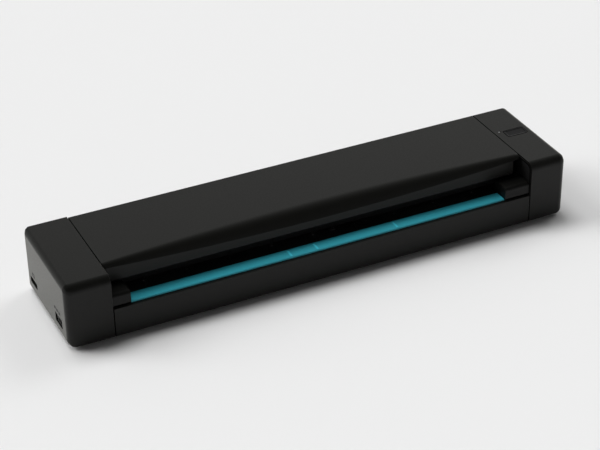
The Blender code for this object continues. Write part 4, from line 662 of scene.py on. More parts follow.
def make_finishes():
    colours = bpy.context.scene.scanner_colours
    sizes = bpy.context.scene.scanner_sizes
    return {
        "shell": textured_abs("textured_black_abs", tuple(colours.body), sizes.grain),
        "path": satin_abs("satin_black_abs", tuple(colours.inside), 0.42),
        "block": satin_abs("smooth_black_abs", linear("#111110"), 0.4, 0.14),
        # The seam finish is painted shade: near-black and dull, it stands in for the shadow in the seams.
        "seam": satin_abs("dull_black_abs", linear("#050505"), 0.8, 0.05),
        "strip": satin_abs("satin_blue_green_abs", tuple(colours.strip), 0.4),
        # The ridges' finish is a painted highlight: the strip's colour made lighter where the ridges catch the
        # light.
        "ridge": satin_abs("worn_blue_green_abs", shaded(tuple(colours.strip), 1.6), 0.45),
        "white": acetal("moulded_white_acetal", "#dcdcd4"),
        "rubber": ground_rubber("ground_grey_rubber", "#3a3a3a"),
        "sole": ground_rubber("moulded_black_rubber", "#222222"),
        "turned": worked_metal("turned_steel", "#b9b9b6", 0.28, (1, 10, 10), 0.25),
        "stamped": worked_metal("stamped_zinc_plated_steel", "#b4b6b8", 0.36, (1, 1, 1), 1.2, 0.006),
        "can": worked_metal("drawn_nickel_plated_steel", "#a9a9a6", 0.3, (12, 1, 1), 0.5),
        "spring": worked_metal("rolled_spring_steel", "#8f8f8b", 0.32, (16, 1, 1), 0.3),
        "bronze": worked_metal("sintered_bronze", "#a8834a", 0.5, (1, 1, 1), 0.35, 0.012),
        "brass": worked_metal("cut_brass", "#c9a45c", 0.25, (1, 8, 8), 0.3),
        "gold": worked_metal("plated_gold", "#d8b25a", 0.22, (10, 1, 1), 0.3),
        "glass": contact_glass("polished_soda_lime_glass"),
        "pipe": clear_acrylic("moulded_clear_acrylic", "#d9dcdc"),
        "board": circuit_board("green_masked_board", "#14502c"),
        "cable": flat_cable("polyester_flat_cable", "#e2e2dc"),
        "chip": epoxy("moulded_black_epoxy", "#202022"),
        "key": satin_abs("polished_black_abs", linear("#0a0a0a"), 0.3, 0.13),
        "ink": ink("printed_black_ink", "#050505"),
        "lens": satin_abs("bonded_lens_rods", linear("#10181c"), 0.2, 0.6),
    }


FINISHES = {}

CARRIED_OVER = {
    "path": ("left_side_frame", "right_side_frame", "platen_deck", "upper_guide", "lower_image_sensor",
             "upper_image_sensor", "paper_flag", "tact_switch"),
    "white": ("front_drive_gear", "rear_drive_gear", "idler_gear", "reduction_gear"),
    "turned": ("front_drive_shaft", "rear_drive_shaft", "left_hinge_pin", "right_hinge_pin", "idler_pin",
               "reduction_pin", "flag_pin"),
    "stamped": ("gear_bracket",),
    "can": ("motor",),
    "spring": ("front_pinch_spring", "rear_pinch_spring", "sensor_spring_left", "sensor_spring_right"),
    "bronze": ("front_bush_left", "front_bush_right", "rear_bush_left", "rear_bush_right"),
    "brass": ("motor_pinion",),
    "glass": ("lower_glass", "upper_glass"),
    "board": ("main_board", "button_board"),
    "cable": ("sensor_ribbon",),
}


# Pieces


def span(node):
    """A CAD node's lowest and highest corners."""
    low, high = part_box(node)
    return Vector(low), Vector(high)


def middle_of(node):
    low, high = span(node)
    return (low + high) / 2


def repeat(piece, places, slot, finish):
    """Copies a piece from its first place to the others, and hands all over.

    A place is a name, a body and the CAD node that the piece stands for.
    """
    start = middle_of(places[0][2])
    pieces = [piece] + [copy_of(piece, name, middle_of(node) - start) for name, _body, node in places[1:]]
    for made, (_name, body, node) in zip(pieces, places):
        hand_over(made, body, slot, finish, node)


def cap_radii(side, inset):
    """The radii of an end cap's edges, or of its hollow, which lies a wall further in."""
    def eased(radius):
        return max(radius - inset, INNER_RADIUS)

    return {
        (0, -1, 1): eased(FRONT_ROLL_RADIUS),
        (0, 1, 1): eased(REAR_TOP_RADIUS if side > 0 else SHARP_RADIUS),
        (0, -1, -1): eased(BOTTOM_RADIUS),
        (0, 1, -1): eased(BOTTOM_RADIUS),
        (side, 0, 1): eased(SIDE_TOP_RADIUS),
        (side, 0, -1): eased(END_BOTTOM_RADIUS),
        (side, -1, 0): eased(FRONT_CORNER_RADIUS),
        (side, 1, 0): eased(REAR_CORNER_RADIUS if side > 0 else FRONT_CORNER_RADIUS),
    }


def seam_rib(low, high, seam, side):
    """A rib that stands into the seam all round, set in from the skin, so that no light comes through the gap."""
    inset = Vector((0, RIB_INSET, RIB_INSET))
    low, high = low + inset, high - inset
    low.x, high.x = sorted((seam - side * RIB_REACH, seam + side * OVERRUN))
    radii = {edge: radius for edge, radius in cap_radii(side, RIB_INSET).items() if edge[0] == 0}
    return round_box(box("rib", low, high), radii)


def end_cap(name, node, side):
    """A moulded cap with rolled outer edges, open towards the middle, with its foot pockets and screw holes."""
    low, high = span(node)
    sizes = bpy.context.scene.scanner_sizes
    if side > 0:
        low.x += sizes.seam_relief / 2
    else:
        high.x -= sizes.seam_relief / 2
        high.y += REAR_STEP
    cap = round_box(box(name, low, high), cap_radii(side, 0))
    seam = low.x if side > 0 else high.x
    ease(cap, flat_at("X", seam), sizes.seam_easing)
    join_solids(cap, seam_rib(low, high, seam, side))
    hollow_low, hollow_high = low + Vector((WALL,) * 3), high - Vector((WALL,) * 3)
    if side > 0:
        hollow_low.x = low.x - OVERRUN
    else:
        hollow_high.x = high.x + OVERRUN
    hollow = round_box(box("hollow", hollow_low, hollow_high), cap_radii(side, WALL))
    cut(cap, hollow)
    word = "right" if side > 0 else "left"
    for place in ("front", "rear"):
        foot_low, foot_high = span(f"foot_{place}_{word}")
        pocket = bar("pocket", (foot_low.x - FIT_GAP, foot_low.y - FIT_GAP, low.z - OVERRUN),
                     foot_high + Vector((FIT_GAP,) * 3), BOTTOM_RADIUS + FIT_GAP)
        screw_low, screw_high = span(f"cap_screw_{place}_{word}")
        middle = ((screw_low + screw_high) / 2).xy
        radius = (screw_high.x - screw_low.x) / 2 + FIT_GAP
        sink = rod("sink", low.z - OVERRUN, screw_low.z + HEAD_HEIGHT + FIT_GAP, radius, middle)
        hole = rod("hole", low.z, low.z + WALL + OVERRUN, SCREW_HOLE_RADIUS, middle, sides=24)
        cut(cap, pocket, sink, hole)
    return cap


class SCANNER_OT_end_caps(bpy.types.Operator):
    """Models both end caps with their rolled edges, port openings and key opening"""

    bl_idname = "scanner.end_caps"
    bl_label = "End caps"

    def execute(self, context):
        left = end_cap("left_cap", "left_end_cap", -1)
        face = CAD_BOX[0][0]
        for node, width, height, back, rise in PORTS:
            middle = middle_of(node) + Vector((0, back, rise))
            reach = Vector((0, width / 2, height / 2))
            opening = bar("opening", Vector((face - OVERRUN, middle.y, middle.z)) - reach,
                          Vector((face + WALL + OVERRUN, middle.y, middle.z)) + reach, PORT_RADIUS, "X")
            cut(left, opening)
        hand_over(left, "base", "black_plastic", "shell", "left_end_cap")
        paint_seam_shade(left, span("left_end_cap")[1].x)
        right = end_cap("right_cap", "right_end_cap", 1)
        top = CAD_BOX[1][2]
        low, high = key_plan()
        opening = bar("opening", (low.x - KEY_GAP, low.y - KEY_GAP, top - WALL - OVERRUN),
                      (high.x + KEY_GAP, high.y + KEY_GAP, top + OVERRUN), KEY_RADIUS + FIT_GAP)
        hole = rod("hole", top - WALL - OVERRUN, top + OVERRUN, LENS_RADIUS + FIT_GAP, middle_of("light_pipe").xy,
                   sides=32)
        cut(right, opening, hole)
        low, high = span("button_board")
        inset = BOARD_POST_RADIUS + FIT_GAP
        left_x, right_x = low.x + inset, high.x - inset
        for across in ((left_x, low.y + inset), (right_x, low.y + inset), (right_x, high.y - inset)):
            post = rod("post", high.z + KEY_GAP, top - WALL + INNER_RADIUS, BOARD_POST_RADIUS, across, sides=24)
            join_solids(right, post)
        hand_over(right, "base", "black_plastic", "shell", "right_end_cap")
        paint_seam_shade(right, span("right_end_cap")[0].x)
        return {"FINISHED"}


def cover_span():
    """The cover's corners, stood back a little from both caps."""
    low, high = span("top_cover")
    relief = Vector((bpy.context.scene.scanner_sizes.seam_relief, 0, 0))
    return low + relief, high - relief


def base_channel(low, high):
    """The floor, front panel and rear wall: one moulding, open at both ends and along its top."""
    easing = bpy.context.scene.scanner_sizes.seam_easing
    radii = {(0, side, 1): easing for side in (-1, 1)}
    radii.update({(0, side, -1): BOTTOM_RADIUS for side in (-1, 1)})
    radii.update({(end, *edge): easing for end in (-1, 1) for edge in ((0, -1), (0, 1), (-1, 0), (1, 0))})
    shell = round_box(box("base_shell", low, high), radii)
    inner = BOTTOM_RADIUS - INNER_RADIUS
    room = box("hollow", (low.x - OVERRUN, low.y + WALL, low.z + WALL),
               (high.x + OVERRUN, high.y - WALL, high.z + OVERRUN))
    return cut(shell, round_box(room, {(0, -1, -1): inner, (0, 1, -1): inner}, 6))


def base_tongue(side, word, root, whole_low, whole_high):
    """A tongue that reaches into an end cap, with the two bosses for its screws."""
    end = whole_high.x if side > 0 else whole_low.x
    lap = root - side * TONGUE_LAP
    floor = whole_low.z + WALL
    inset = WALL + FIT_GAP
    low = Vector((min(lap, end), whole_low.y + inset, floor - EMBED))
    high = Vector((max(lap, end), whole_high.y - inset, floor + FIT_GAP + WALL))
    tongue = round_box(box("tongue", low, high), {
        (side, -1, 0): FRONT_CORNER_RADIUS - WALL, (side, 1, 0): INNER_RADIUS}, 8)
    near, far = sorted((root - side * EMBED, end + side * OVERRUN))
    cut(tongue, box("under", (near, whole_low.y, whole_low.z), (far, whole_high.y, floor + FIT_GAP)))
    top = high.z + BOSS_HEIGHT
    for place in ("front", "rear"):
        centre = middle_of(f"cap_screw_{place}_{word}").xy
        boss = rod("boss", floor + FIT_GAP + EMBED, top, POST_RADIUS, centre)
        join_solids(tongue, ease(boss, flat_at("Z", top), POST_EASING))
        cut(tongue, rod("bore", whole_low.z, top + OVERRUN, SCREW_HOLE_RADIUS, centre, sides=24))
    return tongue


class SCANNER_OT_base(bpy.types.Operator):
    """Models the base between the caps, with its tongues, screw bosses, posts, sensor cradles and motor bed"""

    bl_idname = "scanner.base"
    bl_label = "Base"

    def execute(self, context):
        whole_low, whole_high = span("base_tray")
        cover_low, cover_high = cover_span()
        base = base_channel(Vector((cover_low.x, whole_low.y, whole_low.z)),
                            Vector((cover_high.x, whole_high.y, whole_high.z)))
        for side, word, root in ((-1, "left", cover_low.x), (1, "right", cover_high.x)):
            join_solids(base, base_tongue(side, word, root, whole_low, whole_high))
        floor = whole_low.z + WALL
        middle = middle_of("lower_sheet_guide").x
        low, high = span("lower_image_sensor")
        front, rear = low.y - FIT_GAP, high.y + FIT_GAP
        seat = low.z - FIT_GAP
        for side in (-1, 1):
            for y, top in FRAME_POSTS:
                post = rod("post", floor - EMBED, top, POST_RADIUS, (middle + side * POST_X, y))
                join_solids(base, ease(post, flat_at("Z", top), POST_EASING))
            x = middle + side * CRADLE_X
            half, top = CRADLE_HALF_WIDTH, seat + CRADLE_RISE
            cradle = box("cradle", (x - half, front - WALL, floor - EMBED), (x + half, rear + WALL, top))
            half, top = half + OVERRUN, top + OVERRUN
            cut(cradle, box("pocket", (x - half, front, seat), (x + half, rear, top)))
            join_solids(base, cradle)
        low, high = span("motor")
        radius = (high.y - low.y) / 2 + FIT_GAP
        cut(base, rod("bed", low.x - FIT_GAP, high.x, radius, middle_of("motor").yz, "X", 96))
        hand_over(base, "base", "black_plastic", "shell", "base_tray")
        paint_seam_shade(base, cover_low.x, cover_high.x)
        return {"FINISHED"}


class SCANNER_OT_feet(bpy.types.Operator):
    """Models a grooved rubber foot and copies it to the four corners"""

    bl_idname = "scanner.feet"
    bl_label = "Feet"

    def execute(self, context):
        places = [(f"sole_{corner}", "base", f"foot_{corner}") for corner in CORNERS]
        low, high = span(places[0][2])
        foot = bar(places[0][0], low, high, BOTTOM_RADIUS, segments=8)
        ease(foot, flat_at("Z", low.z), SOLE_EASING, 4)
        for step in (-1, 0, 1):
            x = (low.x + high.x) / 2 + step * GROOVE_PITCH
            cut(foot, bar("groove", (x - GROOVE_HALF_WIDTH, low.y - OVERRUN, low.z - OVERRUN),
                          (x + GROOVE_HALF_WIDTH, high.y + OVERRUN, low.z + GROOVE_DEPTH), GROOVE_RADIUS, "Y", 4))
        repeat(foot, places, "rubber", "sole")
        return {"FINISHED"}


class SCANNER_OT_screws(bpy.types.Operator):
    """Turns a cross-recessed screw with its thread and copies it to the four screw holes"""

    bl_idname = "scanner.screws"
    bl_label = "Cap screws"

    def execute(self, context):
        places = [(f"screw_{corner}", "base", f"cap_screw_{corner}") for corner in CORNERS]
        low, high = span(places[0][2])
        middle = (low + high) / 2
        head = (high.x - low.x) / 2
        base, tip = low.z - middle.z, high.z - middle.z
        start = base + HEAD_HEIGHT
        profile = [(0, base), (head - HEAD_EASING, base), (head, base + HEAD_EASING), (head, start),
                   (CORE_RADIUS, start)]
        for turn in range(int((tip - start) / THREAD_PITCH)):
            profile += [(radius, start + (turn + share) * THREAD_PITCH)
                        for radius, share in ((CORE_RADIUS, 0.25), (THREAD_RADIUS, 0.5), (CORE_RADIUS, 0.75))]
        profile += [(TIP_RADIUS, tip), (0, tip)]
        screw = turned(places[0][0], profile, middle, "Z", steps=32)
        for long, short in ((RECESS_REACH, RECESS_HALF_WIDTH), (RECESS_HALF_WIDTH, RECESS_REACH)):
            cut(screw, box("slot", (middle.x - long, middle.y - short, low.z - OVERRUN),
                           (middle.x + long, middle.y + short, low.z + RECESS_DEPTH)))
        repeat(screw, places, "steel", "turned")
        return {"FINISHED"}


def folded_shell(name, node, radius, reach=0.0):
    """A folded metal socket shell, round at its corners and closed behind, which can reach out past the CAD's."""
    low, high = span(node)
    low.x -= reach
    wall = Vector((SHELL_WALL,) * 3)
    shell = bar(name, low, high, radius, "X")
    room = bar("hollow", (low.x - OVERRUN, *(low + wall).yz), high - wall, radius - SHELL_BEND, "X")
    return soften(cut(shell, room), SHELL_EASING)


def within(node, level, start, end, half_width, under, top):
    """The corners of what lies in a socket. Its underside and top are given over a level."""
    low, high = span(node)
    y = (low.y + high.y) / 2
    return (Vector((low.x + start, y - half_width, level + under)),
            Vector((high.x - SHELL_WALL - end, y + half_width, level + top)))


def contact_row(name, count, low, high):
    """Flat contacts side by side, lying in one moulding."""
    pitch = (high.y - low.y) / count
    starts = [low.y + pitch * (number + 0.2) for number in range(count)]
    rows = [bar(f"{name}_{number}", (low.x, y, low.z), (high.x, y + pitch * 0.6, high.z), FINE_EASING, "X", 3)
            for number, y in enumerate(starts, 1)]
    select_only(*rows)
    bpy.ops.object.join()
    made = bpy.context.object
    made.name = made.data.name = name
    return made


class SCANNER_OT_sockets(bpy.types.Operator):
    """Models the two socket shells in the left face, with their contacts and the marks above them"""

    bl_idname = "scanner.sockets"
    bl_label = "Sockets"

    def execute(self, context):
        middle = middle_of("usb_socket").z
        usb = folded_shell("usb_shell", "usb_socket", USB_RADIUS, USB_REACH)
        hand_over(usb, "base", "steel", "can", "usb_socket")
        tongue = soften(box("usb_tongue", *within("usb_socket", middle, *USB_TONGUE)), USB_TONGUE_EASING)
        hand_over(tongue, "base", "dark_plastic", "chip")
        contacts = contact_row("usb_contacts", 5, *within("usb_socket", middle, *USB_CONTACTS))
        hand_over(contacts, "base", "brass", "gold")
        roof = span("card_socket")[1].z - SHELL_WALL
        card = folded_shell("card_shell", "card_socket", CARD_RADIUS)
        hand_over(card, "base", "steel", "can", "card_socket")
        contacts = contact_row("card_contacts", 8, *within("card_socket", roof, *CARD_CONTACTS))
        hand_over(contacts, "base", "brass", "gold")
        self.marks()
        return {"FINISHED"}

    def marks(self):
        """Plain printed marks over the openings: three dashes for the cable and a small frame for the card."""
        def printed(name, y, z, reach, radius, depth=MARK_DEPTH, rise=MARK_RISE):
            face = CAD_BOX[0][0]
            return bar(name, (face - rise, y - reach[0], z - reach[1]), (face + depth, y + reach[0], z + reach[1]),
                       radius, "X", 4)

        marks = [printed(f"cable_mark_{number}", y, CABLE_MARK_Z, *CABLE_MARK)
                 for number, y in enumerate(CABLE_MARKS_Y, 1)]
        y = middle_of("card_socket").y + PORTS[1][3]
        frame_mark = printed("card_mark", y, CARD_MARK_Z, *CARD_MARK)
        room = printed("hollow", y, CARD_MARK_Z, *CARD_MARK_ROOM, MARK_DEPTH + OVERRUN, MARK_RISE + OVERRUN)
        for mark in (*marks, cut(frame_mark, room)):
            hand_over(mark, "base", "dark_plastic", "ink")


def mirrored(profile):
    """The outline of a piece whose two ends are alike, from one end's."""
    return profile + [(radius, -distance) for radius, distance in reversed(profile)]


def edge_points(edge, radius, end, side=1):
    """The outline of a roller's edge at one end, which looks along +X or, with a side of -1, along -X."""
    return [(radius - under * MM, end - side * inward * MM) for under, inward in edge]


class SCANNER_OT_rollers(bpy.types.Operator):
    """Turns the rubber tyres of the drive rollers and the moulded pinch rollers"""

    bl_idname = "scanner.rollers"
    bl_label = "Rollers"

    def execute(self, context):
        places = [(f"{place}_tyre_{word}", f"{place}_drive", f"{place}_drive_roller_{word}")
                  for place in ("front", "rear") for word in ("left", "right")]
        low, high = span(places[0][2])
        radius, half = (high.z - low.z) / 2, (high.x - low.x) / 2
        profile = mirrored([(TYRE_BORE, half), *edge_points(TYRE_EDGE, radius, half)])
        tyre = turned(places[0][0], profile, middle_of(places[0][2]), "X", closed=True, steps=96)
        repeat(tyre, places, "rubber", "rubber")
        self.pinch_rollers(half)
        return {"FINISHED"}

    def pinch_rollers(self, half):
        """Two rollers moulded on one shaft, over each pair of tyres."""
        places = [(f"{place}_pinch_rollers", f"{place}_pinch", f"{place}_pinch_roller")
                  for place in ("front", "rear")]
        low, high = span(places[0][2])
        middle = (low + high) / 2
        radius, reach = (high.z - low.z) / 2, (high.x - low.x) / 2
        offset = middle_of("front_drive_roller_right").x - middle.x
        near, far = offset - half, offset + half
        profile = mirrored([
            (0, reach), (PINCH_SHAFT - PINCH_EASING, reach), (PINCH_SHAFT, reach - PINCH_EASING),
            (PINCH_SHAFT, far), *edge_points(PINCH_EDGE, radius, far),
            *reversed(edge_points(PINCH_EDGE, radius, near, -1)), (PINCH_SHAFT, near)])
        repeat(turned(places[0][0], profile, middle, "X", steps=80), places, "white_plastic", "white")


class SCANNER_OT_sensors(bpy.types.Operator):
    """Models the lens row and the light bar in each image sensor's slot, and the chips on the main board"""

    bl_idname = "scanner.sensors"
    bl_label = "Image sensors"

    def execute(self, context):
        for word, body, out in (("lower", "base", 1), ("upper", "cover", -1)):
            low, high = span(f"{word}_image_sensor")
            face = high.z if out > 0 else low.z
            y = (low.y + high.y) / 2
            left, right = low.x + SLOT_INSET, high.x - SLOT_INSET
            deep, shallow = (face - out * depth for depth in SLOT_DEPTHS)
            bottom, top = sorted((deep, shallow))
            for name, (start, end), finish, slot in (("lens_row", LENS_ROW, "lens", "glass"),
                                                     ("light_bar", LIGHT_BAR, "pipe", "light_pipe")):
                piece = box(f"{word}_{name}", (left, y + start, bottom), (right, y + end, top))
                ease(piece, both(along("X"), flat_at("Z", shallow)), ROD_RADIUS, 6)
                hand_over(soften(piece, FINE_EASING), body, slot, finish)
        low, high = span("main_board")
        right, top = high.x - CHIP_INSET, high.z + CHIP_RISE
        for number, y in enumerate(CHIPS_Y, 1):
            chip = box(f"main_chip_{number}", (right - CHIP_SIDE, y - CHIP_SIDE / 2, top - CHIP_HEIGHT),
                       (right, y + CHIP_SIDE / 2, top))
            hand_over(soften(chip, CHIP_EASING), "base", "dark_plastic", "chip")
        return {"FINISHED"}


def key_plan():
    """The scan key's visible corners in plan: its flange is wider and lies under the cap's skin."""
    low, high = span("scan_button")
    flange = Vector((KEY_FLANGE, KEY_FLANGE))
    return low.xy + flange, high.xy - flange


def bump(share):
    """1 in the middle and 0 at both ends, along a parabola."""
    return 1 - (2 * share - 1) ** 2


def cover_profile(share, low, high):
    """The cover's outer side at one place along its length, from the lip's foot over the top to the rear."""
    front, top = CAD_BOX[0][1] + LIP_SETBACK, high.z
    depth = SCOOP_DEPTHS[0] + (SCOOP_DEPTHS[1] - SCOOP_DEPTHS[0]) * bump(share)
    drop = SCOOP_DROPS[0] + (SCOOP_DROPS[1] - SCOOP_DROPS[0]) * bump(share)
    points = [(front, top - LIP_DROP)]
    for step in range(SCOOP_STEPS, -1, -1):
        along_scoop = step / SCOOP_STEPS
        points.append((front + depth * (1 - along_scoop), top - drop * along_scoop**SCOOP_POWER))
    return points + [(high.y, top), (high.y, top - REAR_WALL_DROP)]


class SCANNER_OT_cover(bpy.types.Operator):
    """Models the hinged cover: a skin whose front roll widens towards the middle, with its wall and hinge ears"""

    bl_idname = "scanner.cover"
    bl_label = "Cover"

    def execute(self, context):
        low, high = cover_span()
        inner = [low.x + LIP_NOTCHES[0], high.x - LIP_NOTCHES[1]]
        run = inner[1] - inner[0]
        stations = [low.x, low.x + LIP_NOTCHES[0] / 2]
        stations += [inner[0] + run * step / COVER_STATIONS for step in range(COVER_STATIONS + 1)]
        stations += [high.x - LIP_NOTCHES[1] / 2, high.x]
        rows = [cover_profile((x - low.x) / (high.x - low.x), low, high) for x in stations]
        select_only()
        across, deep = len(stations) - 1, len(rows[0]) - 1
        bpy.ops.mesh.primitive_grid_add(x_subdivisions=across, y_subdivisions=deep, size=1)
        cover = take("cover_shell")
        # The roll follows a formula that no operator gives, so each point of the grid is put on its profile.
        for vertex in cover.data.vertices:
            station = round((vertex.co.x + 0.5) * across)
            y, z = rows[station][round((vertex.co.y + 0.5) * deep)]
            vertex.co = (stations[station], y, z)

        def in_notch(points):
            outside = all(point.x < inner[0] + HAIR or point.x > inner[1] - HAIR for point in points)
            on_lip = all(abs(point.y - rows[0][0][0]) < HAIR for point in points)
            return outside and on_lip and min(point.z for point in points) < high.z - LIP_DROP + HAIR

        pick(cover, in_notch, "polygons")
        bpy.ops.mesh.delete(type="FACE")
        leave_edit()
        change(cover, "SOLIDIFY", thickness=WALL, offset=-1, use_even_offset=True)

        ease(cover, both(flat_at("Y", high.y), flat_at("Z", high.z)), REAR_TOP_RADIUS, 8)
        soften(cover, context.scene.scanner_sizes.seam_easing)
        y, z = middle_of("left_hinge_pin").yz
        for ear_low, ear_high in ((low.x, low.x + EAR_WIDTH), (high.x - EAR_WIDTH, high.x)):
            ear = rod("ear", ear_low, ear_high, EAR_RADIUS, (y, z), "X")
            join_solids(ear, box("root", (ear_low, y - EAR_RADIUS, z),
                                 (ear_high, y + EAR_RADIUS, high.z - WALL + EAR_OVERLAP)))
            cut(ear, rod("bore", ear_low - OVERRUN, ear_high + OVERRUN, HINGE_BORE_RADIUS, (y, z), "X"))
            join_solids(cover, ear)
        hand_over(cover, "cover", "black_plastic", "shell", "top_cover")
        paint_seam_shade(cover, low.x, high.x)
        return {"FINISHED"}


class SCANNER_OT_sheet_path(bpy.types.Operator):
    """Models the blue-green guide strip and the two blocks beside it"""

    bl_idname = "scanner.sheet_path"
    bl_label = "Sheet path"

    def execute(self, context):
        low, high = span("lower_sheet_guide")
        low.y += STRIP_SETBACK
        strip = box("guide_strip", low, high)
        cut(strip, box("tool", (low.x - OVERRUN, low.y - OVERRUN, low.z - OVERRUN),
                       (high.x + OVERRUN, low.y + STRIP_LIP_RUN, high.z - STRIP_LIP)))
        ease(strip, both(along("X"), flat_at("Y", low.y), flat_at("Z", high.z)), STRIP_RADIUS - HAIR, 8)
        for x in STRIP_RIDGES:
            join_solids(strip, bar("ridge", (x - RIDGE_HALF_WIDTH, low.y + RIDGE_ENDS[0], high.z - RIDGE_ROOT),
                                   (x + RIDGE_HALF_WIDTH, high.y - RIDGE_ENDS[1], high.z + RIDGE_RISE),
                                   RIDGE_EASING, "Y", 3))
        hand_over(strip, "base", "teal_plastic", "strip", "lower_sheet_guide")
        # The ridges' tops take the lighter finish, a painted highlight.
        strip.data.materials.append(FINISHES["ridge"])
        for face in strip.data.polygons:
            face.material_index = int(face.center.z > high.z + HAIR)
        rear = high.y
        for side in ("left", "right"):
            low, high = span(f"{side}_guide_block")
            block = box(f"{side}_block", low, high)
            ease(block, both(along("X"), flat_at("Z", high.z)), BLOCK_RADIUS, 10)
            undercut = box("undercut", (low.x - OVERRUN, low.y - OVERRUN, low.z - OVERRUN),
                           (high.x + OVERRUN, low.y + BLOCK_UNDERCUT[0], low.z + BLOCK_UNDERCUT[1]))
            step = box("step", (low.x - OVERRUN, rear, low.z - OVERRUN),
                       (high.x + OVERRUN, high.y + OVERRUN, BLOCK_STEP_Z))
            soften(cut(block, undercut, step), BLOCK_EASING)
            hand_over(block, "base", "black_plastic", "block", f"{side}_guide_block")
        return {"FINISHED"}


class SCANNER_OT_controls(bpy.types.Operator):
    """Models the dished scan key and the indicator's lens"""

    bl_idname = "scanner.controls"
    bl_label = "Key and indicator"

    def execute(self, context):
        low, high = key_plan()
        whole_low, whole_high = span("scan_button")
        flange_top = CAD_BOX[1][2] - WALL - FIT_GAP
        flange_low = flange_top - KEY_FLANGE
        key = bar("scan_key", (*low, flange_top - EMBED), (*high, whole_high.z), KEY_RADIUS, segments=8)
        pick(key, flat_at("Z", whole_high.z), "polygons")
        bpy.ops.mesh.inset(thickness=KEY_RIM)
        bpy.ops.mesh.inset(thickness=KEY_SLOPE)
        bpy.ops.transform.translate(value=(0, 0, -context.scene.scanner_sizes.key_dish))
        leave_edit()
        ease(key, flat_at("Z", whole_high.z), KEY_EASING, 2)
        flange = bar("flange", (*whole_low.xy, flange_low), (*whole_high.xy, flange_top), FLANGE_RADIUS)
        stem = rod("stem", whole_low.z, flange_low + EMBED, STEM_RADIUS, (low + high) / 2, sides=32)
        join_solids(key, flange, stem)
        hand_over(key, "button", "black_plastic", "key", "scan_button")
        low, high = span("light_pipe")
        middle = (low + high) / 2
        base, tip, collar = low.z - middle.z, high.z - middle.z, flange_top - middle.z
        profile = [(0, tip), (0.25 * MM, tip - 0.02 * MM), (0.42 * MM, tip - 0.1 * MM),
                   (LENS_RADIUS, tip - 0.25 * MM), (LENS_RADIUS, collar),
                   (COLLAR_RADIUS, collar), (COLLAR_RADIUS, collar - COLLAR_HEIGHT),
                   (LENS_RADIUS, collar - COLLAR_HEIGHT), (LENS_RADIUS, base), (0, base)]
        lens = turned("indicator_lens", profile, middle, "Z", steps=32)
        hand_over(lens, "base", "light_pipe", "pipe", "light_pipe")
        return {"FINISHED"}


class SCANNER_OT_carried_over(bpy.types.Operator):
    """Gives every CAD node that stays in view its own finish"""

    bl_idname = "scanner.carried_over"
    bl_label = "Finishes of the frame"

    def execute(self, context):
        for finish, nodes in CARRIED_OVER.items():
            for node in nodes:
                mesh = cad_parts[node].data
                if not mesh.materials:
                    mesh.materials.append(None)
                for index in range(len(mesh.materials)):
                    mesh.materials[index] = FINISHES[finish]
        return {"FINISHED"}


# One wide softbox overhead, a little behind and to the left, drawn as four soft suns so that it lights the whole
# floor evenly. Each is its tilts towards -X and +Y in degrees and its strength.
LAMPS = {
    "softbox_middle": (5, 19, 1.46),
    "softbox_left": (40, 35, 0.98),
    "softbox_far_left": (61, 44, 0.86),
    "softbox_right": (-48, 25, 0.6),
}
LAMP_WIDTH = math.radians(28)

# The room: pale at the horizon all round, dimmer with height behind the scanner, and dark in front of it.
BEHIND = ((0.08, 0.95), (0.35, 0.51), (0.6, 0.42), (0.95, 0.1))
IN_FRONT = ((0.06, 0.95), (0.18, 0.1), (0.6, 0.04), (0.95, 0.02))


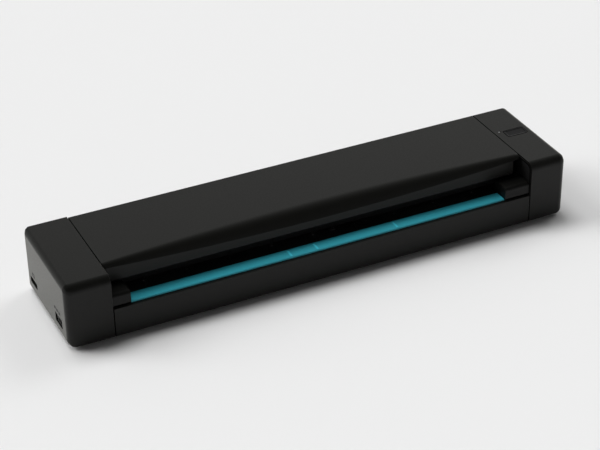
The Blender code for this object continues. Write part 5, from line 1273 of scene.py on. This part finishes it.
class SCANNER_OT_stage(bpy.types.Operator):
    """Sets up the camera, the pale floor and the soft studio light"""

    bl_idname = "scanner.stage"
    bl_label = "Stage"

    def execute(self, context):
        scene = context.scene
        right = CAMERA_BACK.cross(Vector((0, 0, -1))).normalized()
        up = CAMERA_BACK.cross(right)
        turned_right = math.cos(CAMERA_ROLL) * right + math.sin(CAMERA_ROLL) * up
        turned_up = math.cos(CAMERA_ROLL) * up - math.sin(CAMERA_ROLL) * right
        turn = Matrix((turned_right, turned_up, CAMERA_BACK)).transposed().to_euler()
        select_only()
        bpy.ops.object.camera_add(location=EYE, rotation=turn)
        camera = context.object
        camera.name = "camera"
        camera.data.lens = CAMERA_LENS
        camera.data.sensor_width = SENSOR
        camera.data.clip_start = 0.05
        camera.data.shift_x, camera.data.shift_y = (pixels / PICTURE_WIDTH for pixels in CAMERA_SHIFT)
        scene.camera = camera
        for name, (left, back, strength) in LAMPS.items():
            select_only()
            source = Vector((-math.tan(math.radians(left)), math.tan(math.radians(back)), 1))
            turn = source.to_track_quat("Z", "Y").to_euler()
            bpy.ops.object.light_add(type="SUN", location=source, rotation=turn)
            lamp = context.object
            lamp.name = name
            lamp.data.angle = LAMP_WIDTH
            lamp.data.energy = strength
            lamp.visible_glossy = False
        select_only()
        bpy.ops.mesh.primitive_plane_add(size=scene.scanner_sizes.floor_side)
        floor = take("floor")
        floor.data.materials.append(self.floor_finish(tuple(scene.scanner_colours.floor)))
        scene.world = self.studio()
        scene.view_settings.view_transform = "Standard"
        return {"FINISHED"}

    def studio(self):
        """The room's light, by direction."""
        world = bpy.data.worlds.new("studio")
        world.use_nodes = True
        direction = add_node(world, "ShaderNodeTexCoord").outputs["Generated"]
        parts = add_node(world, "ShaderNodeSeparateXYZ", {"Vector": direction}).outputs
        levels = []
        for stops in (IN_FRONT, BEHIND):
            ramp = add_node(world, "ShaderNodeValToRGB", {"Fac": parts["Z"]})
            marks = ramp.color_ramp.elements
            for index, (height, level) in enumerate(stops):
                mark = marks[index] if index < 2 else marks.new(height)
                mark.position, mark.color = height, (level, level, level, 1)
            levels.append(ramp.outputs["Color"])
        share = add_node(world, "ShaderNodeMapRange", {"Value": parts["Y"], "From Min": -0.1, "From Max": 0.4})
        room = add_node(world, "ShaderNodeMixRGB", {
            "Fac": share.outputs["Result"], "Color1": levels[0], "Color2": levels[1]})
        world.node_tree.links.new(room.outputs["Color"], world.node_tree.nodes["Background"].inputs["Color"])
        return world

    def floor_finish(self, colour):
        """Matte white board, with a barely visible drift of tone."""
        material, shader = start_material("matte_white_board", Specular_IOR_Level=0.1)
        drift = speckle(material, 300 * MM)
        return link_finish(
            material, shader, tinted(material, drift, shaded(colour, 0.99), colour),
            between(material, drift, 0.85, 0.95), speckle(material, 2 * MM), 0.01 * MM)


OPERATORS = (
    SCANNER_OT_stage,
    SCANNER_OT_end_caps,
    SCANNER_OT_base,
    SCANNER_OT_feet,
    SCANNER_OT_screws,
    SCANNER_OT_sockets,
    SCANNER_OT_cover,
    SCANNER_OT_sheet_path,
    SCANNER_OT_rollers,
    SCANNER_OT_sensors,
    SCANNER_OT_controls,
    SCANNER_OT_carried_over,
)


class SCANNER_PT_pieces(bpy.types.Panel):
    """Lists the scanner's sizes, colours and pieces"""

    bl_idname = "SCANNER_PT_pieces"
    bl_label = "Sheet-fed scanner"
    bl_space_type = "VIEW_3D"
    bl_region_type = "UI"
    bl_category = "Scanner"

    def draw(self, context):
        for group in (context.scene.scanner_sizes, context.scene.scanner_colours):
            for name in group.bl_rna.properties.keys():
                if name not in ("rna_type", "name"):
                    self.layout.prop(group, name)
        for operator in OPERATORS:
            self.layout.operator(operator.bl_idname)


CLASSES = (ScannerSizes, ScannerColours, *OPERATORS, SCANNER_PT_pieces)


def register():
    for made in CLASSES:
        bpy.utils.register_class(made)
    bpy.types.Scene.scanner_sizes = bpy.props.PointerProperty(type=ScannerSizes)
    bpy.types.Scene.scanner_colours = bpy.props.PointerProperty(type=ScannerColours)


def unregister():
    del bpy.types.Scene.scanner_colours
    del bpy.types.Scene.scanner_sizes
    for made in reversed(CLASSES):
        bpy.utils.unregister_class(made)


def main():
    register()
    FINISHES.update(make_finishes())
    for operator in OPERATORS:
        group, name = operator.bl_idname.split(".")
        getattr(getattr(bpy.ops, group), name)()


if __name__ == "__main__":
    main()
